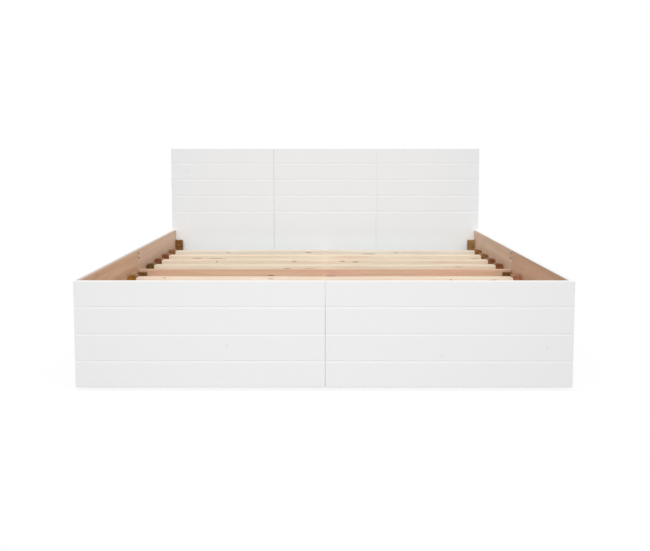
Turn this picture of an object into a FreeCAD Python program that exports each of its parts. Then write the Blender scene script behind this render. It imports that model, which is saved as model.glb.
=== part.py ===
import FreeCAD, Part
import os
import re
import Sketcher

# Bed with two wheeled drawers at the foot end, in millimetres.
# +Z is up, the foot end faces -Y, the headboard stands at +Y.
# The origin is on the floor, under the middle of the bed's box.

# Driving sizes, one row of the sheet each
SIZES = {
    # space for the mattress, between the side rails and from drawer front to headboard
    "bay_width": 1404,
    "bay_length": 2012,
    # boards
    "rail_thickness": 18,
    "rail_height": 313,
    "front_thickness": 18,
    "front_floor_gap": 10,
    "front_seam": 0.5,
    "head_thickness": 18,
    "head_height": 695,
    "head_seam": 0.6,
    "panel_thickness": 18,
    "edge_round": 1.5,
    "glide_height": 7,
    "glide_margin": 1,
    "glide_setback": 60,
    # V-grooves between the planks of the white panels
    "groove_width": 7,
    "groove_depth": 1,
    "front_plank": 79,
    "head_first_plank": 69,
    "head_plank": 75,
    # battens behind the headboard
    "batten_thickness": 18,
    "batten_height": 70,
    "batten_inset": 40,
    "batten_low": 90,
    "batten_drop": 90,
    "batten_screw_share": 0.2,
    # where the two boards of each side rail meet
    "mid_share": 0.485,
    "lap_length": 30,
    "joint_screw_first": 12,
    "joint_screw_pitch": 17,
    # cross members
    "panel_drop": 72,
    "mid_floor_gap": 20,
    "closing_gap": 0.3,
    "beam_height": 80,
    "leg_width": 45,
    "leg_slot_depth": 25,
    # slats and their end holders
    "slat_width": 60,
    "slat_thickness": 18,
    "slat_first": 160,
    "slat_drop": 77,
    "slat_round": 2,
    "slat_play": 0.3,
    "holder_length": 30,
    "holder_wall": 3,
    "holder_crown": 6,
    "holder_outer_round": 11,
    "holder_inner_round": 3.5,
    "holder_peg_radius": 5,
    "holder_peg_length": 12,
    # corner blocks
    "block_width": 33,
    "block_depth": 30,
    "block_height": 47,
    "block_round": 2,
    "block_screw_share": 0.3,
    "mid_block_drop": 10,
    "head_block_rise": 28,
    "low_block_height": 60,
    # screws
    "screw_radius": 2,
    "screw_head_radius": 4,
    "screw_head_depth": 2.4,
    "screw_bite": 10,
    # drawers
    "drawer_side_gap": 6,
    "drawer_top_gap": 10,
    "drawer_back_gap": 8,
    "drawer_board": 15,
    "drawer_bottom": 6,
    "drawer_batten_width": 60,
    "drawer_batten_depth": 18,
    "drawer_screw_inset": 25,
    "front_screw_inset": 50,
    "bottom_screw_share": 0.1,
    # castors
    "wheel_radius": 20,
    "wheel_width": 16,
    "wheel_round": 3,
    "wheel_hub_share": 0.45,
    "wheel_dish_share": 0.7,
    "wheel_hub_recess": 3,
    "wheel_inset": 60,
    "wheel_setback": 90,
    "wheel_side_play": 1,
    "wheel_top_gap": 5,
    "axle_radius": 3,
    "axle_play": 0.08,
    "axle_head_radius": 5,
    "axle_head_depth": 1.5,
    "bracket_steel": 2,
    "bracket_length": 44,
    "bracket_flange": 10,
    "bracket_ear": 12,
}

# How many slats lie each side of the cross panel, and how many grooves the white panels have
SLAT_COUNT_EACH_WAY = 4
FRONT_GROOVE_COUNT = 3
HEAD_GROOVE_COUNT = 4

# Places and sizes worked out from the driving ones
DERIVED = {
    "inner_x": "bay_width / 2",
    "outer_x": "inner_x + rail_thickness",
    "whole_length": "front_thickness + bay_length + head_thickness + batten_thickness",
    "foot_y": "-whole_length / 2",
    "bay_y": "foot_y + front_thickness",
    "rail_y": "bay_y + closing_gap",
    "head_y": "bay_y + bay_length",
    "head_back_y": "head_y + head_thickness",
    "mid_distance": "bay_length * mid_share",
    "mid_y": "bay_y + mid_distance",
    "mid_front_y": "mid_y - panel_thickness / 2",
    "mid_back_y": "mid_y + panel_thickness / 2",
    "foot_rail_back_y": "rail_y + panel_thickness",
    "rail_top_z": "glide_height + rail_height",
    "slat_top_z": "rail_top_z - slat_drop",
    "slat_low_z": "slat_top_z - slat_thickness",
    "slat_pitch": f"(mid_distance - slat_first) / {SLAT_COUNT_EACH_WAY}",
    "panel_top_z": "rail_top_z - panel_drop",
    "foot_rail_z": "panel_top_z - mid_block_drop - block_height",
    "beam_z": "slat_low_z - beam_height",
    "mid_block_z": "foot_rail_z + block_height / 2",
    "centre_block_z": "slat_low_z - block_round - block_height / 2",
    "beam_block_z": "slat_low_z - beam_height / 2",
    "block_screw_spread": "block_height * block_screw_share",
    "head_block_z": "panel_top_z + head_block_rise - block_height / 2",
    "holder_width": "slat_width + 2 * slat_play + 2 * holder_wall",
    "front_height": "rail_top_z - front_floor_gap",
    "front_first_plank": f"(front_height - {FRONT_GROOVE_COUNT - 1} * front_plank) / 2",
    "head_panel": "(2 * outer_x - 2 * head_seam) / 3",
    "batten_high": "glide_height + head_height - batten_drop - batten_height",
    "glide_radius": "rail_thickness / 2 - glide_margin",
    "box_in_x": "panel_thickness / 2 + drawer_side_gap",
    "box_out_x": "inner_x - drawer_side_gap",
    "box_back_y": "mid_front_y - block_depth - drawer_back_gap",
    "box_middle_y": "(bay_y + box_back_y) / 2",
    "bottom_screw_setback": "bottom_screw_share * (box_back_y - bay_y)",
    "box_low_z": "2 * wheel_radius + wheel_top_gap + bracket_steel",
    "side_low_z": "box_low_z + drawer_bottom",
    "box_top_z": "foot_rail_z - drawer_top_gap",
    "wheel_hub_radius": "wheel_radius * wheel_hub_share",
    "wheel_dish_radius": "wheel_radius * wheel_dish_share",
    "ear_gap": "wheel_width + 2 * wheel_side_play",
    "ear_outside": "ear_gap / 2 + bracket_steel",
    "wheel_front_y": "bay_y + wheel_setback",
    "wheel_back_y": "box_back_y - wheel_setback",
    "wheel_in_x": "box_in_x + wheel_inset",
    "wheel_out_x": "box_out_x - wheel_inset",
}

# A formula that stays at the origin, the sketch root point, and how near two places count as one
AT_ORIGIN = "0"
ROOT = (-1, 1)
NEAR = 1e-6
FULL_TURN = 360

# Rough outlines that the sketches start from, before their constraints set the sizes
ROUGH_SQUARE = ((1, 1), (9, 1), (9, 9), (1, 9))
ROUGH_NOTCH = ((0, 1), (0, 9), (4, 5))
ROUGH_RADIUS = 4.0

ALONG_X = FreeCAD.Rotation(FreeCAD.Vector(0, 1, 0), 90)
ALONG_Y = FreeCAD.Rotation(FreeCAD.Vector(1, 0, 0), -90)
AGAINST_X = FreeCAD.Rotation(FreeCAD.Vector(0, 1, 0), -90)
AGAINST_Y = FreeCAD.Rotation(FreeCAD.Vector(1, 0, 0), 90)
UPWARDS = FreeCAD.Rotation()

doc = FreeCAD.newDocument("bed_with_drawers")
sheet = doc.addObject("Spreadsheet::Sheet", "dims")
for row, (alias, value) in enumerate(SIZES.items(), start=1):
    sheet.set(f"A{row}", alias)
    sheet.set(f"B{row}", str(value))
    sheet.setAlias(f"B{row}", alias)
doc.recompute()

nodes = []


def formula(text):
    """Turn a formula in plain size names into one that reads the sheet."""
    def word(match):
        name = match.group(0)
        if name in DERIVED:
            return "(" + formula(DERIVED[name]) + ")"
        if name in SIZES:
            return "dims." + name
        return name
    return re.sub(r"[a-z_][a-z0-9_]*", word, text)


def bind(thing, **properties):
    """Bind properties of an object, or named constraints of a sketch, to formulas."""
    for name, text in properties.items():
        if thing.TypeId == "Sketcher::SketchObject":
            name = "Constraints." + name
        thing.setExpression(name, formula(text))


def place(thing, x, y, z, turn=UPWARDS):
    """Set an object's turn and bind its place to formulas."""
    thing.Placement = FreeCAD.Placement(FreeCAD.Vector(), turn)
    for axis, text in zip("xyz", (x, y, z)):
        thing.setExpression("Placement.Base." + axis, formula(text))


def span(ends):
    """Return the formula of the length between two ends."""
    return f"({ends[1]}) - ({ends[0]})"


def keep(thing, label):
    """Name a finished sub-part and put it on the list to be written."""
    thing.Label = label
    nodes.append(thing)
    return thing


def origin(body, role):
    """Return a body's own origin plane or axis."""
    for feature in body.Origin.OriginFeatures:
        if feature.Role == role:
            return feature
    raise ValueError(role)


def sketch_on(body, name, plane):
    """Start a sketch on one of a body's own origin planes."""
    sketch = body.newObject("Sketcher::SketchObject", name)
    sketch.AttachmentSupport = (origin(body, plane), [""])
    sketch.MapMode = "FlatFace"
    return sketch


def polygon(sketch, points):
    """Draw a closed outline of straight lines and join its corners."""
    corners = [FreeCAD.Vector(x, y, 0) for x, y in points]
    first = sketch.GeometryCount
    count = len(corners)
    for index in range(count):
        sketch.addGeometry(Part.LineSegment(corners[index], corners[(index + 1) % count]))
    for index in range(count):
        following = first + (index + 1) % count
        sketch.addConstraint(Sketcher.Constraint("Coincident", first + index, 2, following, 1))
    return first


def distance(sketch, name, kind, start, end, text):
    """Add a named distance from one point to another and bind it to a formula."""
    index = sketch.addConstraint(Sketcher.Constraint(kind, *start, *end, 1.0))
    sketch.renameConstraint(index, name)
    bind(sketch, **{name: text})


def rectangle(body, name, plane, wide, tall, left=AT_ORIGIN, low=AT_ORIGIN):
    """Sketch a rectangle on a body's plane, bound to formulas."""
    sketch = sketch_on(body, name, plane)
    bottom = polygon(sketch, ROUGH_SQUARE)
    right = bottom + 1
    top = bottom + 2
    side = bottom + 3
    for line in (bottom, top):
        sketch.addConstraint(Sketcher.Constraint("Horizontal", line))
    for line in (right, side):
        sketch.addConstraint(Sketcher.Constraint("Vertical", line))
    distance(sketch, "left", "DistanceX", ROOT, (bottom, 1), left)
    distance(sketch, "low", "DistanceY", ROOT, (bottom, 1), low)
    distance(sketch, "wide", "DistanceX", (bottom, 1), (bottom, 2), wide)
    distance(sketch, "tall", "DistanceY", (right, 1), (right, 2), tall)
    return sketch


def board(label, x, y, z, rounding="edge_round"):
    """Make a board with eased edges between two ends on each axis."""
    body = doc.addObject("PartDesign::Body", label)
    outline = rectangle(body, label + "_outline", "XY_Plane", span(x), span(y))
    pad = body.newObject("PartDesign::Pad", label + "_pad")
    pad.Profile = outline
    bind(pad, Length=span(z))
    doc.recompute()
    easing = body.newObject("PartDesign::Fillet", label + "_easing")
    easing.Base = (pad, [f"Edge{index + 1}" for index in range(len(pad.Shape.Edges))])
    bind(easing, Radius=rounding)
    place(body, x[0], y[0], z[0])
    return body


def planked_board(label, x, y, z, first, pitch, grooves):
    """Make a board with level V-grooves across its -Y face."""
    body = board(label, x, y, z)
    notch = sketch_on(body, label + "_notch", "YZ_Plane")
    mouth = polygon(notch, ROUGH_NOTCH)
    upper = mouth + 1
    notch.addConstraint(Sketcher.Constraint("PointOnObject", mouth, 1, -2))
    notch.addConstraint(Sketcher.Constraint("Vertical", mouth))
    notch.addConstraint(Sketcher.Constraint("Equal", upper, mouth + 2))
    distance(notch, "height", "DistanceY", ROOT, (mouth, 1), f"{span(z)} - ({first}) - groove_width / 2")
    distance(notch, "mouth", "DistanceY", (mouth, 1), (mouth, 2), "groove_width")
    distance(notch, "depth", "DistanceX", (upper, 1), (upper, 2), "groove_depth")
    groove = body.newObject("PartDesign::Pocket", label + "_groove")
    groove.Profile = notch
    groove.Type = "ThroughAll"
    groove.SideType = "Symmetric"
    pattern = body.newObject("PartDesign::LinearPattern", label + "_grooves")
    pattern.Originals = [groove]
    pattern.Direction = (origin(body, "Z_Axis"), [""])
    pattern.Mode = "Spacing"
    pattern.Reversed = True
    pattern.Occurrences = grooves
    bind(pattern, Offset=pitch)
    body.Tip = pattern
    return body


def box(name, x, y, z):
    """Make a plain box between two ends on each axis."""
    solid = doc.addObject("Part::Box", name)
    bind(solid, Length=span(x), Width=span(y), Height=span(z))
    place(solid, x[0], y[0], z[0])
    return solid


def cylinder(name, radius, height):
    """Make a plain upright cylinder."""
    solid = doc.addObject("Part::Cylinder", name)
    bind(solid, Radius=radius, Height=height)
    return solid


def combine(kind, name, base, tool):
    """Join or cut two objects."""
    result = doc.addObject(kind, name)
    result.Base = base
    result.Tool = tool
    return result


def cut(name, base, *tools):
    """Cut one or more objects out of another."""
    for index, tool in enumerate(tools):
        base = combine("Part::Cut", f"{name}_cut_{index}", base, tool)
    return base


def fuse(name, base, *others):
    """Join objects into one solid."""
    for index, other in enumerate(others):
        base = combine("Part::Fuse", f"{name}_join_{index}", base, other)
        base.Refine = True
    return base


def copies(name, source, spots):
    """Place copies of one object, each at (x, y, z, turn), as a group of solids."""
    links = []
    for index, (x, y, z, turn) in enumerate(spots):
        link = doc.addObject("App::Link", f"{name}_copy_{index}")
        link.LinkedObject = source
        link.LinkTransform = True
        place(link, x, y, z, turn)
        links.append(link)
    return gather(name, links)


def gather(name, things):
    """Gather objects into one group of separate solids."""
    group = doc.addObject("Part::Compound", name)
    group.Links = things
    return group


def mirrored(name, source):
    """Mirror an object from the right side of the bed to the left."""
    mirror = doc.addObject("Part::Mirroring", name)
    mirror.Source = source
    mirror.Normal = FreeCAD.Vector(1, 0, 0)
    return mirror


def both_sides(label, right):
    """Keep a right-hand piece and its mirror image; label holds {side}."""
    keep(right, label.format(side="right"))
    left = mirrored(label.format(side="left"), right)
    keep(left, label.format(side="left"))


def screw(name, length):
    """Make a countersunk screw, head at the origin, pointing to +Z."""
    head = doc.addObject("Part::Cone", name + "_head")
    bind(head, Radius1="screw_head_radius", Radius2="screw_radius", Height="screw_head_depth")
    shank = cylinder(name + "_shank", "screw_radius", length)
    return fuse(name, head, shank)


block_screw_x = screw("block_screw_x", "block_width + screw_bite")
block_screw_y = screw("block_screw_y", "block_depth + screw_bite")
joint_screw = screw("joint_screw", "rail_thickness - edge_round")
batten_screw = screw("batten_screw", "batten_thickness + screw_bite")
drawer_screw = screw("drawer_screw", "drawer_board + screw_bite")
bottom_screw = screw("bottom_screw", "drawer_bottom + screw_bite")


# Corner blocks and their screws

def corner_block():
    """Make the blank of a corner block, centred on its height, at the origin."""
    return board(
        "corner_block",
        ("-block_width / 2", "block_width / 2"),
        ("-block_depth / 2", "block_depth / 2"),
        ("-block_height / 2", "block_height / 2"),
        "block_round",
    )


block_blank = corner_block()
RAIL_BLOCK_X = "inner_x - block_width / 2"
HEAD_BLOCK_Y = "head_y - block_depth / 2"
CENTRE_BLOCK_X = "(panel_thickness + block_width) / 2"
HEAD_SPOTS = [
    (RAIL_BLOCK_X, HEAD_BLOCK_Y, "head_block_z", 1, 1),
    (RAIL_BLOCK_X, HEAD_BLOCK_Y, "low_block_height", 1, 1),
]
MID_SPOTS = [(RAIL_BLOCK_X, "mid_front_y - block_depth / 2", "mid_block_z", 1, 1)]
FOOT_SPOTS = [(RAIL_BLOCK_X, "foot_rail_back_y + block_depth / 2", "mid_block_z", 1, -1)]
CENTRE_SPOTS = [
    (CENTRE_BLOCK_X, "mid_front_y - block_depth / 2", "centre_block_z", -1, 1),
    (CENTRE_BLOCK_X, "mid_back_y + block_depth / 2", "beam_block_z", -1, -1),
    (CENTRE_BLOCK_X, HEAD_BLOCK_Y, "beam_block_z", -1, 1),
]


def block_screws(name, spots):
    """Place two screws along X and one along Y through each corner block."""
    along_x = []
    along_y = []
    for x, y, z, to_x, to_y in spots:
        turn_x = ALONG_X if to_x > 0 else AGAINST_X
        turn_y = ALONG_Y if to_y > 0 else AGAINST_Y
        start_x = f"{x} - ({to_x}) * block_width / 2"
        start_y = f"{y} - ({to_y}) * block_depth / 2"
        for way in ("-", "+"):
            along_x.append((start_x, y, f"{z} {way} block_screw_spread", turn_x))
        along_y.append((x, start_y, z, turn_y))
    crosswise = copies(name + "_x", block_screw_x, along_x)
    lengthwise = copies(name + "_y", block_screw_y, along_y)
    return gather(name, [crosswise, lengthwise])


def blocks(name, spots, screws):
    """Place corner blocks and drill them for their screws."""
    blanks = copies(name + "_blank", block_blank, [(x, y, z, UPWARDS) for x, y, z, _, _ in spots])
    return cut(name, blanks, screws)


head_screws = block_screws("head_block_screws", HEAD_SPOTS)
mid_screws = block_screws("mid_block_screws", MID_SPOTS)
foot_screws = block_screws("foot_block_screws", FOOT_SPOTS)
centre_screws = block_screws("centre_block_screws", CENTRE_SPOTS)
rail_block_screws = gather("rail_block_screws", [head_screws, mid_screws, foot_screws])
left_block_screws = mirrored("left_block_screws", rail_block_screws)
all_block_screws = gather("corner_block_screws", [rail_block_screws, left_block_screws, centre_screws])
keep(all_block_screws, "corner_block_screws")
both_sides("corner_blocks_head_{side}", blocks("head_blocks", HEAD_SPOTS, head_screws))
both_sides("corner_block_mid_{side}", blocks("mid_blocks", MID_SPOTS, mid_screws))
both_sides("corner_block_foot_{side}", blocks("foot_blocks", FOOT_SPOTS, foot_screws))
keep(blocks("centre_blocks", CENTRE_SPOTS, centre_screws), "corner_blocks_centre")


# Slats and the holders at their ends

def slat_places():
    """Return the middle of each slat along the bed, from the foot end, as formulas."""
    steps = [step for step in range(-SLAT_COUNT_EACH_WAY, SLAT_COUNT_EACH_WAY + 1) if step != 0]
    return [f"mid_y + ({step}) * slat_pitch" for step in steps]


def top_edge(shape, at_x):
    """Return the name of the edge of a shape that lies level at its top, at a given X."""
    for index, edge in enumerate(shape.Edges):
        middle = edge.CenterOfMass
        if abs(middle.z - shape.BoundBox.ZMax) < NEAR and abs(middle.x - at_x) < NEAR:
            return f"Edge{index + 1}"
    raise ValueError("no top edge")


def slat_holder():
    """Make a right-hand slat holder at the bed's middle, for a slat at Y 0 and Z 0."""
    body = doc.addObject("PartDesign::Body", "slat_holder")
    wall = "holder_wall"
    outline = rectangle(
        body, "holder_outline", "XZ_Plane", "holder_length",
        f"{wall} + slat_thickness + holder_crown", "-holder_length", f"-{wall} - slat_thickness",
    )
    shell = body.newObject("PartDesign::Pad", "holder_shell")
    shell.Profile = outline
    shell.SideType = "Symmetric"
    bind(shell, Length="holder_width")
    doc.recompute()
    rail_side = shell.Shape.BoundBox.XMax
    slat_side = shell.Shape.BoundBox.XMin
    outer = body.newObject("PartDesign::Fillet", "holder_outer_arch")
    outer.Base = (shell, [top_edge(shell.Shape, rail_side)])
    bind(outer, Radius="holder_outer_round")
    doc.recompute()
    inner = body.newObject("PartDesign::Fillet", "holder_inner_arch")
    inner.Base = (outer, [top_edge(outer.Shape, slat_side)])
    bind(inner, Radius="holder_inner_round")
    doc.recompute()
    mouth = rectangle(
        body, "holder_mouth", "YZ_Plane", "slat_width + 2 * slat_play", "slat_thickness + slat_play",
        "-slat_width / 2 - slat_play", "-slat_thickness",
    )
    hollow = body.newObject("PartDesign::Pocket", "holder_hollow")
    hollow.Profile = mouth
    hollow.Type = "Length"
    mouth.setExpression("AttachmentOffset.Base.z", formula("-holder_wall"))
    bind(hollow, Length="holder_length")
    peg_outline = sketch_on(body, "holder_peg_outline", "YZ_Plane")
    circle = peg_outline.addGeometry(Part.Circle(FreeCAD.Vector(), FreeCAD.Vector(0, 0, 1), ROUGH_RADIUS))
    radius = peg_outline.addConstraint(Sketcher.Constraint("Radius", circle, ROUGH_RADIUS))
    peg_outline.renameConstraint(radius, "radius")
    bind(peg_outline, radius="holder_peg_radius")
    peg_outline.addConstraint(Sketcher.Constraint("PointOnObject", circle, 3, -2))
    distance(peg_outline, "drop", "DistanceY", (circle, 3), ROOT, "slat_thickness / 2")
    peg = body.newObject("PartDesign::Pad", "holder_peg")
    peg.Profile = peg_outline
    bind(peg, Length="holder_peg_length")
    body.Tip = peg
    return body


holder = slat_holder()
holders = copies(
    "slat_holders", holder, [("inner_x", y, "slat_top_z", UPWARDS) for y in slat_places()],
)
both_sides("slat_holders_{side}", holders)
SLAT_END = "inner_x - holder_wall - slat_play"
for number, middle in enumerate(slat_places(), start=1):
    slat = board(
        f"slat_{number}",
        (f"-({SLAT_END})", SLAT_END),
        (f"{middle} - slat_width / 2", f"{middle} + slat_width / 2"),
        ("slat_low_z", "slat_top_z"),
        "slat_round",
    )
    keep(slat, f"slat_{number}")


# Side rails, two boards a side with a half lap between them

MID_LAP = ("mid_y - lap_length / 2", "mid_y + lap_length / 2")
RAIL_Z = ("glide_height", "rail_top_z")
INNER_HALF = ("inner_x", "inner_x + rail_thickness / 2")
OUTER_HALF = ("inner_x + rail_thickness / 2", "outer_x")
joint_spots = []
for step in (0, 1):
    depth = f"joint_screw_first + {step} * joint_screw_pitch"
    joint_spots.append(("inner_x", "mid_y", f"rail_top_z - ({depth})", ALONG_X))
    joint_spots.append(("inner_x", "mid_y", f"glide_height + {depth}", ALONG_X))
right_joint = copies("joint_screws_right", joint_screw, joint_spots)
left_joint = mirrored("joint_screws_left", right_joint)
keep(gather("rail_joint_screws", [right_joint, left_joint]), "rail_joint_screws")

front_rail = board("rail_front", ("inner_x", "outer_x"), ("rail_y", MID_LAP[1]), RAIL_Z)
rear_rail = board("rail_rear", ("inner_x", "outer_x"), (MID_LAP[0], "head_y"), RAIL_Z)
front_lap = box("front_lap", INNER_HALF, MID_LAP, RAIL_Z)
rear_lap = box("rear_lap", OUTER_HALF, MID_LAP, RAIL_Z)
front_rail = cut("side_rail_front", front_rail, front_lap, right_joint, holders, rail_block_screws)
rear_rail = cut("side_rail_rear", rear_rail, rear_lap, right_joint, holders, rail_block_screws)
both_sides("side_rail_{side}_front", front_rail)
both_sides("side_rail_{side}_rear", rear_rail)


# Cross members under and between the slats

mid_panel = board(
    "mid_panel_board", ("-inner_x", "inner_x"), ("mid_front_y", "mid_back_y"),
    ("mid_floor_gap", "panel_top_z"),
)
keep(cut("mid_panel", mid_panel, all_block_screws), "mid_cross_panel")
FOOT_RAIL_Y = ("rail_y", "foot_rail_back_y")
foot_rail = board("foot_rail_board", ("-inner_x", "inner_x"), FOOT_RAIL_Y, ("foot_rail_z", "panel_top_z"))
keep(cut("foot_rail", foot_rail, all_block_screws), "foot_cross_rail")

HALF_PANEL = ("-panel_thickness / 2", "panel_thickness / 2")
partition = board("partition_board", HALF_PANEL, ("rail_y", "mid_front_y"), ("glide_height", "slat_low_z"))
partition_notch = box("partition_notch", HALF_PANEL, FOOT_RAIL_Y, ("foot_rail_z", "slat_low_z"))
keep(cut("partition", partition, partition_notch, centre_screws), "centre_partition")

BEAM_Z = ("beam_z", "slat_low_z")
beam = board("beam_board", HALF_PANEL, ("mid_back_y", "head_y"), BEAM_Z)
keep(cut("beam", beam, centre_screws), "centre_beam")
LEG_Y = "(mid_back_y + head_y) / 2"
LEG_SPAN = (f"{LEG_Y} - leg_width / 2", f"{LEG_Y} + leg_width / 2")
leg = board(
    "leg_post", ("-leg_width / 2", "leg_width / 2"), LEG_SPAN, ("glide_height", "beam_z + leg_slot_depth"),
)
leg_slot = box("leg_slot", HALF_PANEL, LEG_SPAN, ("beam_z", "beam_z + leg_slot_depth"))
keep(cut("leg", leg, leg_slot), "centre_leg")


# Headboard of three panels, with two battens behind

HEAD_Z = ("glide_height", "glide_height + head_height")
head_places = {"left": 0, "centre": 1, "right": 2}
batten_spots = []
for position in head_places.values():
    panel_start = f"-outer_x + {position} * (head_panel + head_seam)"
    for share in ("batten_screw_share", "(1 - batten_screw_share)"):
        for level in ("batten_low", "batten_high"):
            spot_z = f"{level} + batten_height / 2"
            spot_x = f"{panel_start} + {share} * head_panel"
            batten_spots.append((spot_x, "head_back_y + batten_thickness", spot_z, AGAINST_Y))
batten_screws = copies("headboard_screws", batten_screw, batten_spots)
keep(batten_screws, "headboard_batten_screws")
for side, position in head_places.items():
    panel_start = f"-outer_x + {position} * (head_panel + head_seam)"
    panel = planked_board(
        f"head_panel_{side}", (panel_start, f"{panel_start} + head_panel"), ("head_y", "head_back_y"), HEAD_Z,
        "head_first_plank", "head_plank", HEAD_GROOVE_COUNT,
    )
    keep(cut(f"head_{side}", panel, batten_screws, all_block_screws), f"headboard_panel_{side}")
for level in ("low", "high"):
    batten = board(
        f"batten_{level}", ("batten_inset - outer_x", "outer_x - batten_inset"),
        ("head_back_y", "head_back_y + batten_thickness"),
        (f"batten_{level}", f"batten_{level} + batten_height"),
    )
    keep(cut(f"batten_{level}_drilled", batten, batten_screws), f"headboard_batten_{level}")


# Glides under everything that stands on the floor

glide = cylinder("glide", "glide_radius", "glide_height")
RAIL_MIDDLE_X = "inner_x + rail_thickness / 2"
LAP_OUTSIDE = "lap_length / 2 + glide_setback"
FRONT_RAIL_GLIDES = ("rail_y + glide_setback", f"mid_y - ({LAP_OUTSIDE})")
REAR_RAIL_GLIDES = (f"mid_y + {LAP_OUTSIDE}", "head_y - glide_setback")
glide_spots = []
for x in (RAIL_MIDDLE_X, f"-({RAIL_MIDDLE_X})"):
    for y in FRONT_RAIL_GLIDES + REAR_RAIL_GLIDES:
        glide_spots.append((x, y, AT_ORIGIN, UPWARDS))
for y in ("rail_y + glide_setback", "mid_front_y - glide_setback", LEG_Y):
    glide_spots.append((AT_ORIGIN, y, AT_ORIGIN, UPWARDS))
for position in head_places.values():
    panel_start = f"-outer_x + {position} * (head_panel + head_seam)"
    for x in (f"{panel_start} + glide_setback", f"{panel_start} + head_panel - glide_setback"):
        glide_spots.append((x, "head_y + head_thickness / 2", AT_ORIGIN, UPWARDS))
keep(copies("floor_glides", glide, glide_spots), "floor_glides")


# Drawers: the right one, and its mirror image

FRONT_X = ("front_seam / 2", "outer_x")
BOX_X = ("box_in_x", "box_out_x")
INSIDE_X = ("box_in_x + drawer_board", "box_out_x - drawer_board")
BOX_Y = ("bay_y", "box_back_y")
SIDE_Z = ("side_low_z", "box_top_z")
BOX_FRONT_Y = ("bay_y", "bay_y + drawer_board")
BOX_BACK_Y = ("box_back_y - drawer_board", "box_back_y")

drawer_spots = []
for x in (f"{INSIDE_X[0]} + front_screw_inset", f"{INSIDE_X[1]} - front_screw_inset"):
    for z in ("side_low_z + drawer_screw_inset", "box_top_z - drawer_screw_inset"):
        drawer_spots.append((x, BOX_FRONT_Y[1], z, AGAINST_Y))
for y in ("bay_y + drawer_board / 2", "box_back_y - drawer_board / 2"):
    for z in ("side_low_z + drawer_screw_inset", "box_top_z - drawer_screw_inset"):
        drawer_spots.append(("box_in_x", y, z, ALONG_X))
        drawer_spots.append(("box_out_x", y, z, AGAINST_X))
bottom_spots = []
for x in ("box_in_x + drawer_board / 2", "box_out_x - drawer_board / 2"):
    for y in ("bay_y + bottom_screw_setback", "box_middle_y", "box_back_y - bottom_screw_setback"):
        bottom_spots.append((x, y, "box_low_z", UPWARDS))
drawer_screws = gather("drawer_screws", [
    copies("drawer_wall_screws", drawer_screw, drawer_spots),
    copies("drawer_bottom_screws", bottom_screw, bottom_spots),
])
both_sides("drawer_{side}_screws", drawer_screws)

front = planked_board(
    "drawer_front", FRONT_X, ("foot_y", "bay_y"), ("front_floor_gap", "rail_top_z"),
    "front_first_plank", "front_plank", FRONT_GROOVE_COUNT,
)
walls = {
    "front": front,
    "box_front": board("drawer_box_front", INSIDE_X, BOX_FRONT_Y, SIDE_Z),
    "side_inner": board("drawer_side_inner", (BOX_X[0], INSIDE_X[0]), BOX_Y, SIDE_Z),
    "side_outer": board("drawer_side_outer", (INSIDE_X[1], BOX_X[1]), BOX_Y, SIDE_Z),
    "back": board("drawer_back", INSIDE_X, BOX_BACK_Y, SIDE_Z),
    "bottom": board("drawer_floor", BOX_X, BOX_Y, ("box_low_z", "side_low_z")),
}
for part, wall in walls.items():
    both_sides("drawer_{side}_" + part, cut("drilled_" + part, wall, drawer_screws))
DRAWER_MIDDLE = "(box_in_x + box_out_x) / 2"
drawer_batten = board(
    "drawer_batten",
    (f"{DRAWER_MIDDLE} - drawer_batten_width / 2", f"{DRAWER_MIDDLE} + drawer_batten_width / 2"),
    BOX_Y, ("box_low_z - drawer_batten_depth", "box_low_z"),
)
both_sides("drawer_{side}_bottom_batten", drawer_batten)


# Castors: bracket, axle and wheel, each made about the wheel's centre

EAR_SPANS = {
    "in": ("-ear_outside", "-ear_gap / 2"),
    "out": ("ear_gap / 2", "ear_outside"),
}


def castor_bracket():
    """Make a pressed steel bracket: a plate with two ears that hold the axle."""
    plate_low = "wheel_radius + wheel_top_gap"
    plate = box(
        "bracket_plate", ("-ear_outside - bracket_flange", "ear_outside + bracket_flange"),
        ("-bracket_length / 2", "bracket_length / 2"), (plate_low, f"{plate_low} + bracket_steel"),
    )
    pieces = []
    for name, ends in EAR_SPANS.items():
        ear = box(f"bracket_ear_{name}", ends, ("-bracket_ear", "bracket_ear"), (AT_ORIGIN, plate_low))
        tip = cylinder(f"bracket_tip_{name}", "bracket_ear", "bracket_steel")
        place(tip, ends[0], AT_ORIGIN, AT_ORIGIN, ALONG_X)
        pieces.extend((ear, tip))
    bore = cylinder("bracket_bore", "axle_radius", "2 * ear_outside")
    place(bore, "-ear_outside", AT_ORIGIN, AT_ORIGIN, ALONG_X)
    return cut("castor_bracket", fuse("castor_bracket", plate, *pieces), bore)


def castor_axle():
    """Make a riveted axle with a flat head outside each ear."""
    pin = cylinder("axle_pin", "axle_radius", "2 * ear_outside")
    place(pin, "-ear_outside", AT_ORIGIN, AT_ORIGIN, ALONG_X)
    heads = []
    for name, start in (("in", "-ear_outside - axle_head_depth"), ("out", "ear_outside")):
        head = cylinder("axle_head_" + name, "axle_head_radius", "axle_head_depth")
        place(head, start, AT_ORIGIN, AT_ORIGIN, ALONG_X)
        heads.append(head)
    return fuse("castor_axle", pin, *heads)


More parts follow.
